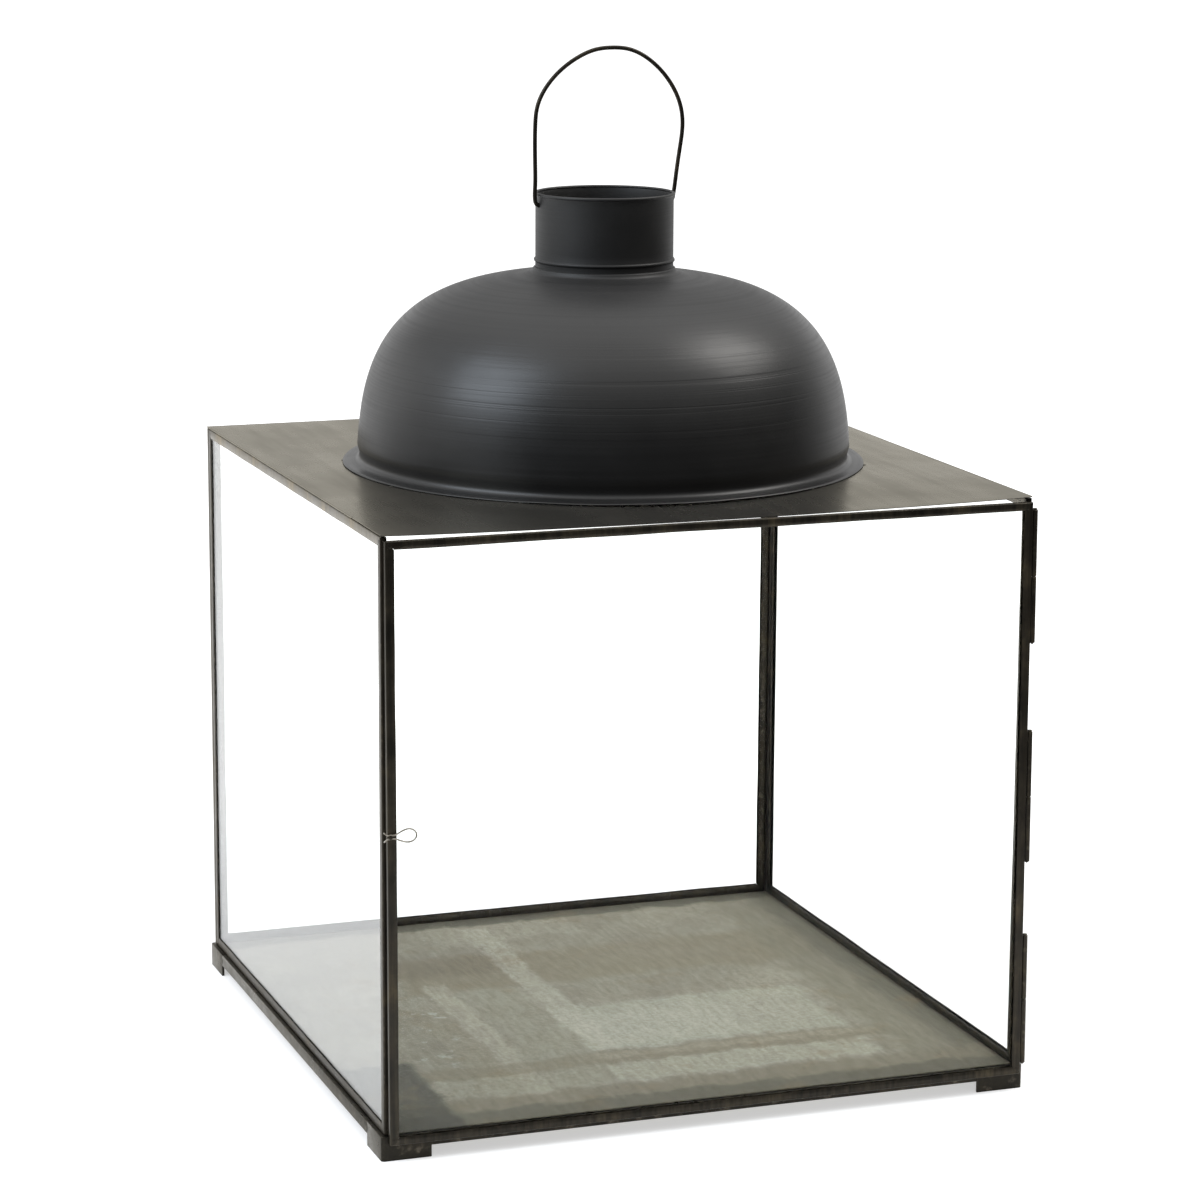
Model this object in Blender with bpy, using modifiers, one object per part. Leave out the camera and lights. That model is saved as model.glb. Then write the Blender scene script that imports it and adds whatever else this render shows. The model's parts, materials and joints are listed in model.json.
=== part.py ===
"""Square iron and glass lantern, in metres, +Z up, the door towards -Y.

The origin is the centre of the footprint on the floor. A folded base carries a zinc floor sheet and
three fixed glass panels. The flat roof sheet carries a spun dome, a chimney neck and a wire bail.
The glazed door hangs on three pinned barrel hinges and is held by a turning wire latch.
"""

import math

import bmesh
import bpy
from mathutils import Matrix, Vector

# ---- overall sizes
WIDTH = 0.400  # roof sheet and glazed box, left to right
DEPTH = 0.402  # roof sheet and glazed box, front to back
BOX_HEIGHT = 0.365  # floor to the top of the roof sheet
GAP = 0.0003  # between two pieces that rest on each other

# ---- base
SKIRT_MARGIN_SIDE = 0.0025  # the skirt stands out from the glazed box
SKIRT_MARGIN_FRONT = 0.0015
BASE_HEIGHT = 0.0145
BASE_SHEET = 0.0015
SKIRT_LIFT = 0.007  # floor to the lower edge of the skirt between the feet
LEDGE_WIDTH = 0.012  # flange under the edge of the floor sheet
FOOT_LENGTH = 0.030
FOOT_CORNER_RADIUS = 0.002
FLOOR_SHEET = 0.0007

# ---- fixed glass panels
CHANNEL_DEPTH = 0.0056  # folded channel, seen square on
CHANNEL_SHEET = 0.0005
FOLD_RADIUS = 0.0005
GLASS_THICKNESS = 0.0024
GLASS_PLAY = 0.0003  # to each wall of the channel
FRONT_RECESS = 0.0018  # roof edge to the front ends of the side panels

# ---- roof, dome and chimney
ROOF_SHEET = 0.001
ROOF_CORNER_RADIUS = 0.002
ROOF_HOLE_MARGIN = 0.0057  # hole to the foot of the dome's wall
CROWN_SHIFT = 0.0026  # the dome sits this far towards the hinge side
DOME_SHEET = 0.001
DOME_RADIUS = 0.1529
DOME_BELLY = -0.0385  # height of the widest circle of the dome's curve, from the roof sheet
DOME_TOP = 0.1167  # height of the flat of the crown, from the roof sheet
DOME_WALL_POWER = 3.2  # how square the shoulder is, outwards
DOME_TOP_POWER = 3.6  # how square the shoulder is, upwards
WALL_TUCK = 0.0022  # the wall draws in this much towards the brim
BRIM_WIDTH = 0.0103
BRIM_RISE = 0.0012
COLLAR_HEIGHT = 0.0032  # the dome's edge is turned up round the neck
NECK_RADIUS = 0.0425
NECK_SHEET = 0.0007
NECK_HEIGHT = 0.0493  # from the flat of the crown
NECK_SINK = 0.0047
NECK_BEAD_RISE = 0.0079
BEAD_RADIUS = 0.0009
RIM_RADIUS = 0.0011
ROUND_STEPS = 56

# ---- bail
BAIL_WIRE = 0.0013  # radius
BAIL_DROP = 0.0072  # rim of the neck to the pivot
BAIL_CLEARANCE = 0.0016  # neck wall to the side of the wire
BAIL_HEIGHT = 0.0946
BAIL_SPREAD = 0.0049  # the right leg stands out this much more at the shoulder
BAIL_SHOULDER = 0.049  # height at which the legs turn into the arch
BAIL_CROWN_SHIFT = 0.003
BAIL_HOOK_LENGTH = 0.0041  # neck's outer wall to the wire's end inside
BAIL_BEND_DEPTH = 0.001  # neck's outer wall to where the hook starts to turn up
BAIL_HOLE_PLAY = 0.0004

# ---- door
DOOR_BOTTOM = 0.0105
DOOR_ROOF_GAP = 0.0022
DOOR_STILE = 0.0054
DOOR_RAIL = 0.0048
DOOR_LATCH_INSET = 0.0015  # roof side edge to the door, at the latch
DOOR_HINGE_INSET = 0.0011
DOOR_SKIRT_PLAY = 0.0005

# ---- hinges
HINGE_FROM_BOTTOM = 0.0465  # door's end to the middle of the hinge nearest it
HINGE_FROM_TOP = 0.0448
HINGE_MIDDLE_DROP = 0.004  # the middle hinge sits this far under half way
HINGE_LENGTH = 0.080
HINGE_SPLIT = 0.0004
PIN_RADIUS = 0.0008
PIN_PLAY = 0.0001
KNUCKLE_WALL = 0.0008
LEAF_SHEET = 0.0006
LEAF_REACH = 0.0085
PIN_HEAD_RADIUS = 0.0014
PIN_HEAD_HEIGHT = 0.0008
HINGE_STEPS = 20

# ---- latch
LATCH_FROM_TOP = 0.1688  # door's top to the rivet
LATCH_INSET = 0.0013  # door edge to the rivet
LATCH_WIRE = 0.00045  # radius
LATCH_LENGTH = 0.0155  # rivet to the end of the loop
LATCH_TAIL = 0.0033
RIVET_RADIUS = 0.0005
RIVET_HEAD_RADIUS = 0.0013
RIVET_HEAD_HEIGHT = 0.0005

# ---- worked out from the sizes above
BASE_WIDTH = WIDTH + 2 * SKIRT_MARGIN_SIDE
BASE_DEPTH = DEPTH + 2 * SKIRT_MARGIN_FRONT
FLOOR_UNDERSIDE = BASE_HEIGHT + GAP
FLOOR_TOP = FLOOR_UNDERSIDE + FLOOR_SHEET
PANEL_BOTTOM = BASE_HEIGHT + GAP
ROOF_UNDERSIDE = BOX_HEIGHT - ROOF_SHEET
PANEL_HEIGHT = ROOF_UNDERSIDE - GAP - PANEL_BOTTOM
PANEL_THICKNESS = GLASS_THICKNESS + 2 * (GLASS_PLAY + CHANNEL_SHEET)
SIDE_FRONT = -DEPTH / 2 + FRONT_RECESS
SIDE_BACK = DEPTH / 2 - PANEL_THICKNESS - GAP
BACK_WIDTH = WIDTH - 2 * (PANEL_THICKNESS + GAP)
WALL_FOOT_RADIUS = DOME_RADIUS - WALL_TUCK
BRIM_RADIUS = WALL_FOOT_RADIUS + BRIM_WIDTH
ROOF_HOLE_RADIUS = WALL_FOOT_RADIUS - ROOF_HOLE_MARGIN
NECK_TOP = DOME_TOP + NECK_HEIGHT
NECK_FOOT = DOME_TOP - NECK_SINK
NECK_BEAD_HEIGHT = DOME_TOP + NECK_BEAD_RISE
BAIL_LEG = NECK_RADIUS + BAIL_CLEARANCE + BAIL_WIRE
BAIL_HALF_WIDTH = BAIL_LEG + BAIL_SPREAD
BAIL_HOOK = NECK_RADIUS - BAIL_HOOK_LENGTH
BAIL_BEND = BAIL_LEG - NECK_RADIUS + BAIL_BEND_DEPTH
DOOR_THICKNESS = PANEL_THICKNESS
DOOR_TOP = ROOF_UNDERSIDE - DOOR_ROOF_GAP
DOOR_BACK_LOW = -BASE_DEPTH / 2 - DOOR_SKIRT_PLAY
DOOR_BACK_HIGH = SIDE_FRONT - GAP
DOOR_HEIGHT = math.hypot(DOOR_TOP - DOOR_BOTTOM, DOOR_BACK_HIGH - DOOR_BACK_LOW)
DOOR_LEAN = math.atan2(DOOR_BACK_HIGH - DOOR_BACK_LOW, DOOR_TOP - DOOR_BOTTOM)
DOOR_WIDTH = WIDTH - DOOR_LATCH_INSET - DOOR_HINGE_INSET
KNUCKLE_RADIUS = PIN_RADIUS + PIN_PLAY + KNUCKLE_WALL
HINGE_OFFSET = KNUCKLE_RADIUS + GAP  # door edge to the pin's axis
HINGE_X = WIDTH / 2 - DOOR_HINGE_INSET + HINGE_OFFSET
HINGE_LOW = DOOR_BOTTOM + HINGE_FROM_BOTTOM
HINGE_HIGH = DOOR_TOP - HINGE_FROM_TOP
HINGE_MIDDLE = (HINGE_LOW + HINGE_HIGH) / 2 - HINGE_MIDDLE_DROP
LATCH_HEIGHT = DOOR_TOP - LATCH_FROM_TOP
BAIL_PIVOT = BOX_HEIGHT + NECK_TOP - BAIL_DROP


# ---------------------------------------------------------------- collections and materials

def clear_scene():
    for obj in list(bpy.data.objects):
        bpy.data.objects.remove(obj, do_unlink=True)


def new_collection(name):
    made = bpy.data.collections.new(name)
    bpy.context.scene.collection.children.link(made)
    return made


def new_material(name, colour, roughness, metallic, transmission=0.0):
    made = bpy.data.materials.new(name)
    made.use_nodes = True
    shader = made.node_tree.nodes["Principled BSDF"]
    shader.inputs["Base Color"].default_value = (*colour, 1.0)
    shader.inputs["Roughness"].default_value = roughness
    shader.inputs["Metallic"].default_value = metallic
    shader.inputs["Transmission Weight"].default_value = transmission
    return made


clear_scene()
PARTS = new_collection("glass_lantern")
CUTTERS = new_collection("cutters")
BLACK_IRON = new_material("black_iron", (0.030, 0.028, 0.025), 0.45, 0.6)
ROOF_IRON = new_material("roof_iron", (0.050, 0.045, 0.040), 0.35, 0.7)
DOME_IRON = new_material("dome_iron", (0.020, 0.020, 0.021), 0.40, 0.5)
BASE_IRON = new_material("base_iron", (0.070, 0.062, 0.052), 0.50, 0.6)
ZINC = new_material("zinc_sheet", (0.300, 0.285, 0.240), 0.45, 0.8)
GLASS = new_material("clear_glass", (0.950, 0.970, 0.960), 0.02, 0.0, 1.0)
WIRE = new_material("bright_wire", (0.420, 0.390, 0.350), 0.35, 0.9)


# ---------------------------------------------------------------- shape helpers

def add_object(name, data, material, parent=None, location=(0, 0, 0), rotation=(0, 0, 0)):
    """A part, placed in its parent's space."""
    obj = bpy.data.objects.new(name, data)
    PARTS.objects.link(obj)
    obj.data.materials.append(material)
    obj.parent = parent
    obj.location = location
    obj.rotation_euler = rotation
    return obj


def add_empty(name, location, rotation=(0, 0, 0), parent=None):
    empty = bpy.data.objects.new(name, None)
    empty.empty_display_size = 0.02
    PARTS.objects.link(empty)
    empty.parent = parent
    empty.location = location
    empty.rotation_euler = rotation
    return empty


def mesh_from(shape, name):
    mesh = bpy.data.meshes.new(name)
    shape.to_mesh(mesh)
    shape.free()
    return mesh


def box_mesh(name, low, high):
    """A box from corner to corner, as a cube primitive scaled in its mesh."""
    low = Vector(low)
    size = Vector(high) - low
    shape = bmesh.new()
    bmesh.ops.create_cube(shape, size=1.0, matrix=Matrix.Translation((0.5, 0.5, 0.5)))
    bmesh.ops.scale(shape, vec=size, verts=shape.verts)
    bmesh.ops.translate(shape, vec=low, verts=shape.verts)
    return mesh_from(shape, name)


def add_box(name, low, high, material, parent=None):
    return add_object(name, box_mesh(name, low, high), material, parent)


def cylinder_mesh(name, radius, low, high, steps):
    """A cylinder on the Z axis, from one height to another."""
    middle = Matrix.Translation((0, 0, (low + high) / 2))
    shape = bmesh.new()
    bmesh.ops.create_cone(
        shape, cap_ends=True, segments=steps, radius1=radius, radius2=radius,
        depth=high - low, matrix=middle,
    )
    return mesh_from(shape, name)


def add_cutter(name, mesh, parent=None, location=(0, 0, 0), rotation=(0, 0, 0)):
    cutter = bpy.data.objects.new(name, mesh)
    CUTTERS.objects.link(cutter)
    cutter.hide_render = True
    cutter.display_type = "WIRE"
    cutter.parent = parent
    cutter.location = location
    cutter.rotation_euler = rotation
    return cutter


def boolean(obj, operation, other):
    modifier = obj.modifiers.new(operation.title(), "BOOLEAN")
    modifier.operation = operation
    modifier.solver = "EXACT"
    modifier.object = other


def solidify(obj, thickness):
    """Thickens an open surface towards its inner side."""
    modifier = obj.modifiers.new("Solidify", "SOLIDIFY")
    modifier.thickness = thickness
    modifier.offset = -1.0
    modifier.use_even_offset = True


def outline_mesh(name, outlines, thickness):
    """A flat outline in XY, as thick as stated and centred on Z = 0, as a welded mesh."""
    curve = bpy.data.curves.new(name, "CURVE")
    curve.dimensions = "2D"
    curve.fill_mode = "BOTH"
    curve.extrude = thickness / 2
    for points in outlines:
        spline = curve.splines.new("POLY")
        spline.points.add(len(points) - 1)
        for point, (x, y) in zip(spline.points, points):
            point.co = (x, y, 0, 1)
        spline.use_cyclic_u = True
    holder = bpy.data.objects.new(name, curve)
    PARTS.objects.link(holder)
    graph = bpy.context.evaluated_depsgraph_get()
    mesh = bpy.data.meshes.new_from_object(holder.evaluated_get(graph))
    bpy.data.objects.remove(holder)
    bpy.data.curves.remove(curve)
    shape = bmesh.new()
    shape.from_mesh(mesh)
    bmesh.ops.remove_doubles(shape, verts=shape.verts, dist=1e-6)
    bmesh.ops.recalc_face_normals(shape, faces=shape.faces)
    shape.to_mesh(mesh)
    shape.free()
    return mesh


def arc(centre, radius, start, end, steps):
    """Points on an arc between two angles in degrees, both ends included."""
    angles = [math.radians(start + (end - start) * i / steps) for i in range(steps + 1)]
    return [(centre[0] + radius * math.cos(a), centre[1] + radius * math.sin(a)) for a in angles]


def rounded_rectangle(width, depth, radius, steps=4):
    points = []
    for turn, (sx, sy) in enumerate(((1, 1), (-1, 1), (-1, -1), (1, -1))):
        centre = (sx * (width / 2 - radius), sy * (depth / 2 - radius))
        points += arc(centre, radius, 90 * turn, 90 * turn + 90, steps)
    return points


def smooth(obj, angle=40):
    obj.data.shade_smooth()
    obj.data.set_sharp_from_angle(angle=math.radians(angle))


def add_turned(name, profile, thickness, material, location):
    """A sheet shell turned about Z. The profile is its outer side, as (radius, height), top to bottom."""
    shape = bmesh.new()
    verts = [shape.verts.new((radius, 0, height)) for radius, height in profile]
    for first, second in zip(verts, verts[1:]):
        shape.edges.new((first, second))
    obj = add_object(name, mesh_from(shape, name), material, location=location)
    screw = obj.modifiers.new("Screw", "SCREW")
    screw.axis = "Z"
    screw.angle = math.tau
    screw.steps = ROUND_STEPS
    screw.render_steps = ROUND_STEPS
    screw.use_smooth_shade = True
    screw.use_merge_vertices = True
    screw.merge_threshold = 0.00001
    solidify(obj, thickness)
    return obj


def add_wire(name, points, radius, material, parent, resolution):
    """A bent wire in its parent's XZ plane, smooth through the points."""
    curve = bpy.data.curves.new(name, "CURVE")
    curve.dimensions = "3D"
    curve.bevel_depth = radius
    curve.bevel_resolution = 2
    curve.use_fill_caps = True
    curve.resolution_u = resolution
    spline = curve.splines.new("BEZIER")
    spline.bezier_points.add(len(points) - 1)
    for knot, (x, z) in zip(spline.bezier_points, points):
        knot.co = (x, 0, z)
        knot.handle_left_type = "AUTO"
        knot.handle_right_type = "AUTO"
    return add_object(name, curve, material, parent)


# ---------------------------------------------------------------- base

def open_box(name, size, kept, material, location, rotation):
    """Sheet folded over the kept faces of a box whose outer top corner is its origin."""
    shape = bmesh.new()
    bmesh.ops.create_cube(shape, size=1.0, matrix=Matrix.Translation((0.5, 0.5, -0.5)))
    bmesh.ops.scale(shape, vec=size, verts=shape.verts)
    shape.normal_update()
    dropped = [face for face in shape.faces if not any(face.normal.dot(way) > 0.9 for way in kept)]
    bmesh.ops.delete(shape, geom=dropped, context="FACES")
    obj = add_object(name, mesh_from(shape, name), material, None, location, rotation)
    solidify(obj, BASE_SHEET)
    return obj


def make_base():
    """Four corner feet, the four skirt rails that butt against them, and the floor sheet on their ledges."""
    outer_x = Vector((-1, 0, 0))
    outer_y = Vector((0, -1, 0))
    top = Vector((0, 0, 1))
    half = (BASE_WIDTH / 2, BASE_DEPTH / 2)
    sides = (
        ("front", 0, BASE_WIDTH, (-1, -1), "foot_front_left"),
        ("right", 90, BASE_DEPTH, (1, -1), "foot_front_right"),
        ("back", 180, BASE_WIDTH, (1, 1), "foot_back_right"),
        ("left", 270, BASE_DEPTH, (-1, 1), "foot_back_left"),
    )
    for side, angle, length, (sx, sy), foot in sides:
        turn = (0, 0, math.radians(angle))
        corner = Vector((sx * half[0], sy * half[1], BASE_HEIGHT))
        along = Vector((math.cos(turn[2]), math.sin(turn[2]), 0))
        footed = open_box(
            foot, (FOOT_LENGTH, FOOT_LENGTH, BASE_HEIGHT), (outer_x, outer_y, top), BASE_IRON, corner, turn
        )
        round_foot_corner(footed)
        rail = length - 2 * (FOOT_LENGTH + GAP)
        size = (rail, LEDGE_WIDTH, BASE_HEIGHT - SKIRT_LIFT)
        start = corner + along * (FOOT_LENGTH + GAP)
        open_box(f"base_rail_{side}", size, (outer_y, top), BASE_IRON, start, turn)
    low = (-BACK_WIDTH / 2, SIDE_FRONT, FLOOR_UNDERSIDE)
    high = (BACK_WIDTH / 2, SIDE_BACK, FLOOR_TOP)
    add_box("floor_plate", low, high, ZINC)


def round_foot_corner(foot):
    """Rounds the fold on the foot's upright outer corner."""
    shape = bmesh.new()
    shape.from_mesh(foot.data)
    fold = [
        edge for edge in shape.edges
        if len(edge.link_faces) == 2 and all(v.co.x < 1e-6 and v.co.y < 1e-6 for v in edge.verts)
    ]
    bmesh.ops.bevel(shape, geom=fold, offset=FOOT_CORNER_RADIUS, segments=4, profile=0.5, affect="EDGES")
    shape.to_mesh(foot.data)
    shape.free()


# ---------------------------------------------------------------- glazed frames

def channel_outline(depth, thickness):
    """The folded channel's section: web at Y = 0, open towards +Y, its outer folds rounded."""
    half = thickness / 2
    inner = half - CHANNEL_SHEET
    folds = arc((-half + FOLD_RADIUS, FOLD_RADIUS), FOLD_RADIUS, 180, 270, 3)
    folds += arc((half - FOLD_RADIUS, FOLD_RADIUS), FOLD_RADIUS, 270, 360, 3)
    inside = [(half, depth), (inner, depth), (inner, CHANNEL_SHEET)]
    inside += [(-inner, CHANNEL_SHEET), (-inner, depth), (-half, depth)]
    return folds + inside


def channel_mesh(name, length, depth, thickness, mitre):
    """A channel along X with its web at Z = 0, mitred so that its open side is shorter at each end."""
    mesh = outline_mesh(name, [channel_outline(depth, thickness)], length - 1.5 * GAP)
    upright = Matrix(((0, 0, 1, 0), (1, 0, 0, 0), (0, 1, 0, 0), (0, 0, 0, 1)))
    mesh.transform(upright)
    for vertex in mesh.vertices:
        vertex.co.x -= math.copysign(vertex.co.z * mitre / depth, vertex.co.x)
    return mesh


def make_frame(prefix, names, width, height, stile, rail, thickness, parent, material):
    """Four mitred channels and the glass in them. The frame stands on X, from 0 to its width."""
    bottom, top, left, right = names
    quarter = math.pi / 2
    sides = (
        (bottom, width, rail, stile, (width / 2, 0, 0), 0),
        (top, width, rail, stile, (width / 2, 0, height), 2 * quarter),
        (left, height, stile, rail, (0, 0, height / 2), quarter),
        (right, height, stile, rail, (width, 0, height / 2), -quarter),
    )
    for name, length, depth, mitre, location, angle in sides:
        full_name = f"{prefix}_{name}"
        mesh = channel_mesh(full_name, length, depth, thickness, mitre)
        add_object(full_name, mesh, material, parent, location, (0, angle, 0))
    inset = CHANNEL_SHEET + GLASS_PLAY
    low = (inset, -GLASS_THICKNESS / 2, inset)
    high = (width - inset, GLASS_THICKNESS / 2, height - inset)
    add_box(f"{prefix}_glass", low, high, GLASS, parent)


def make_fixed_panels():
    """The left, right and back panels, and the square posts in the back corners."""
    middle = WIDTH / 2 - PANEL_THICKNESS / 2
    length = SIDE_BACK - SIDE_FRONT
    back = DEPTH / 2 - PANEL_THICKNESS / 2
    quarter = math.pi / 2
    sides = (
        ("left", (-middle, SIDE_FRONT, PANEL_BOTTOM), quarter, length, ("front_stile", "back_stile")),
        ("right", (middle, SIDE_FRONT, PANEL_BOTTOM), quarter, length, ("front_stile", "back_stile")),
        ("back", (-BACK_WIDTH / 2, back, PANEL_BOTTOM), 0, BACK_WIDTH, ("left_stile", "right_stile")),
    )
    for side, location, angle, width, stiles in sides:
        place = add_empty(f"{side}_panel_place", location, (0, 0, angle))
        names = ("bottom_rail", "top_rail", *stiles)
        make_frame(
            f"{side}_panel", names, width, PANEL_HEIGHT, CHANNEL_DEPTH, CHANNEL_DEPTH,
            PANEL_THICKNESS, place, BLACK_IRON,
        )
    for side, sign in (("left", -1), ("right", 1)):
        edges = sorted((sign * WIDTH / 2, sign * (WIDTH / 2 - PANEL_THICKNESS)))
        low = (edges[0], DEPTH / 2 - PANEL_THICKNESS, PANEL_BOTTOM)
        high = (edges[1], DEPTH / 2, PANEL_BOTTOM + PANEL_HEIGHT)
        add_box(f"corner_post_back_{side}", low, high, BLACK_IRON)


# ---------------------------------------------------------------- roof, dome and chimney

def make_roof():
    edge = rounded_rectangle(WIDTH, DEPTH, ROOF_CORNER_RADIUS)
    hole = arc((CROWN_SHIFT, 0), ROOF_HOLE_RADIUS, 0, 360, ROUND_STEPS)[:-1]
    mesh = outline_mesh("roof_plate", [edge, hole], ROOF_SHEET)
    add_object("roof_plate", mesh, ROOF_IRON, location=(0, 0, BOX_HEIGHT - ROOF_SHEET / 2))


def dome_wall(angle):
    """A point of the dome's squared curve: 0 is the widest circle, 90 degrees the crown."""
    rise = DOME_TOP - DOME_BELLY
    radius = DOME_RADIUS * math.cos(angle) ** (2 / DOME_WALL_POWER)
    return radius, DOME_BELLY + rise * math.sin(angle) ** (2 / DOME_TOP_POWER)


def dome_profile():
    """Outer side of the dome from the turned-up collar to the brim, as radius and height above the roof."""
    collar = NECK_RADIUS + GAP + DOME_SHEET
    flare = 3 * DOME_SHEET
    profile = [(collar, DOME_TOP + COLLAR_HEIGHT)]
    profile += arc((collar + flare, DOME_TOP + flare), flare, 180, 250, 2)
    steps = 20
    for i in range(1, steps + 1):
        radius, height = dome_wall(math.radians(90 - 90 * i / steps))
        if radius > collar + 3 * flare and height > BRIM_RISE + 6 * DOME_SHEET:
            profile.append((radius, height))
    profile.append((WALL_FOOT_RADIUS, BRIM_RISE + 3 * DOME_SHEET))
    profile.append((WALL_FOOT_RADIUS + DOME_SHEET, BRIM_RISE + DOME_SHEET))
    profile.append((WALL_FOOT_RADIUS + 3 * DOME_SHEET, BRIM_RISE + GAP))
    profile.append((BRIM_RADIUS, DOME_SHEET + GAP))
    return profile


def neck_profile():
    """Outer side of the chimney: rolled rim, wall, raised bead and the foot inside the dome's collar."""
    rim = arc((NECK_RADIUS - NECK_SHEET / 2, NECK_TOP - RIM_RADIUS), RIM_RADIUS, 90, -60, 3)
    bead = arc((NECK_RADIUS - BEAD_RADIUS / 4, NECK_BEAD_HEIGHT), BEAD_RADIUS, 60, -60, 2)
    wall = [(NECK_RADIUS, NECK_TOP - 3 * RIM_RADIUS), (NECK_RADIUS, NECK_BEAD_HEIGHT + 2 * BEAD_RADIUS)]
    foot = [(NECK_RADIUS, NECK_BEAD_HEIGHT - 2 * BEAD_RADIUS), (NECK_RADIUS, NECK_FOOT)]
    return rim + wall + bead + foot


def make_crown():
    base = (CROWN_SHIFT, 0, BOX_HEIGHT)
    add_turned("dome", dome_profile(), DOME_SHEET, DOME_IRON, base)
    neck = add_turned("chimney_neck", neck_profile(), NECK_SHEET, DOME_IRON, base)
    reach = NECK_RADIUS + BAIL_WIRE * 4
    hole = cylinder_mesh("bail_holes", BAIL_WIRE + BAIL_HOLE_PLAY, -reach, reach, 16)
    boolean(neck, "DIFFERENCE", add_cutter("bail_holes", hole, None, bail_pivot(), (0, math.pi / 2, 0)))


def bail_pivot():
    return CROWN_SHIFT, 0, BAIL_PIVOT


def bail_points():
    """The bail's wire, hooks included, in the plane of its legs with the pivot axis at height 0."""
    bend = BAIL_BEND
    hook = [(-BAIL_HOOK, 0), (-BAIL_LEG + bend, 0), (-BAIL_LEG + bend / 4, bend / 3), (-BAIL_LEG, bend)]
    left_reach = BAIL_LEG + BAIL_CROWN_SHIFT
    right_reach = BAIL_HALF_WIDTH - BAIL_CROWN_SHIFT
    rise = BAIL_HEIGHT - BAIL_SHOULDER
    arch = []
    for angle in (180, 150, 120, 90, 60, 30, 0):
        reach = left_reach if angle > 90 else right_reach
        x = BAIL_CROWN_SHIFT + reach * math.cos(math.radians(angle))
        arch.append((x, BAIL_SHOULDER + rise * math.sin(math.radians(angle))))
    half_way = [((BAIL_HALF_WIDTH + BAIL_LEG) / 2, (BAIL_SHOULDER + bend) / 2)]
    return hook + arch + half_way + [(-x, z) for x, z in reversed(hook)]


def make_bail():
    pivot = add_empty("bail_axis", bail_pivot())
    add_wire("bail_handle", bail_points(), BAIL_WIRE, BLACK_IRON, pivot, 4)


# ---------------------------------------------------------------- door

def make_door():
    """The door stands on its hinge axis, which leans back so that the door clears the skirt below."""
    middle = DOOR_BACK_LOW - DOOR_THICKNESS / 2
    hinge = add_empty("door_axis", (HINGE_X, middle, DOOR_BOTTOM), (-DOOR_LEAN, 0, 0))
    place = add_empty("door_place", (-HINGE_OFFSET - DOOR_WIDTH, 0, 0), parent=hinge)
    names = ("bottom_rail", "top_rail", "latch_stile", "hinge_stile")
    make_frame(
        "door", names, DOOR_WIDTH, DOOR_HEIGHT, DOOR_STILE, DOOR_RAIL, DOOR_THICKNESS, place, BLACK_IRON
    )
    for name, height in (("low", HINGE_LOW), ("middle", HINGE_MIDDLE), ("high", HINGE_HIGH)):
        make_hinge(name, height - DOOR_BOTTOM, hinge)
    make_latch(hinge)


def add_knuckle(name, low, high, leaf_low, leaf_high, parent):
    """A barrel on the hinge axis, from one height to another, with a leaf that reaches from it."""
    mesh = cylinder_mesh(name, KNUCKLE_RADIUS, low, high, HINGE_STEPS)
    knuckle = add_object(name, mesh, BLACK_IRON, parent)
    leaf = box_mesh(f"{name}_leaf", (*leaf_low, low), (*leaf_high, high))
    boolean(knuckle, "UNION", add_cutter(f"{name}_leaf", leaf, parent))
    bore = cylinder_mesh(f"{name}_bore", PIN_RADIUS + PIN_PLAY, low - GAP, high + GAP, HINGE_STEPS)
    boolean(knuckle, "DIFFERENCE", add_cutter(f"{name}_bore", bore, parent))


def make_hinge(name, height, hinge):
    """The frame's knuckle above, the door's below, and the headed pin through both."""
    low = height - HINGE_LENGTH / 2
    high = height + HINGE_LENGTH / 2
    frame_face = WIDTH / 2 + GAP - HINGE_X
    frame_low = (frame_face, KNUCKLE_RADIUS - KNUCKLE_WALL + PIN_PLAY)
    frame_high = (frame_face + LEAF_SHEET, LEAF_REACH)
    add_knuckle(f"hinge_{name}_frame_knuckle", height + HINGE_SPLIT / 2, high, frame_low, frame_high, hinge)
    door_reach = DOOR_THICKNESS / 2 - PIN_PLAY
    door_low = (-KNUCKLE_RADIUS, -door_reach)
    door_high = (-KNUCKLE_RADIUS + LEAF_SHEET, door_reach)
    add_knuckle(f"hinge_{name}_door_knuckle", low, height - HINGE_SPLIT / 2, door_low, door_high, hinge)
    pin = cylinder_mesh(f"hinge_{name}_pin", PIN_RADIUS, low - PIN_HEAD_HEIGHT, high + 2 * GAP, HINGE_STEPS)
    pin_object = add_object(f"hinge_{name}_pin", pin, WIRE, hinge)
    head = cylinder_mesh(
        f"hinge_{name}_head", PIN_HEAD_RADIUS, high + GAP, high + GAP + PIN_HEAD_HEIGHT, HINGE_STEPS
    )
    boolean(pin_object, "UNION", add_cutter(f"hinge_{name}_head", head, hinge))


def latch_points():
    """The latch wire, from tail to tail round the loop, with the rivet at 0 between the strands."""
    strand = RIVET_RADIUS + LATCH_WIRE + 0.8 * GAP
    bulge = 3.4 * strand
    upper = [
        (-LATCH_TAIL, 2.7 * strand),
        (-LATCH_TAIL / 3, strand * 1.1),
        (LATCH_TAIL / 4, strand),
        (LATCH_LENGTH * 0.25, 1.9 * strand),
        (LATCH_LENGTH * 0.50, 0.95 * bulge),
        (LATCH_LENGTH * 0.73, bulge),
        (LATCH_LENGTH * 0.93, bulge * 0.62),
    ]
    lower = [(x, -0.80 * z if x > LATCH_TAIL else -z) for x, z in reversed(upper)]
    return upper + [(LATCH_LENGTH, bulge * 0.1)] + lower


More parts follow.
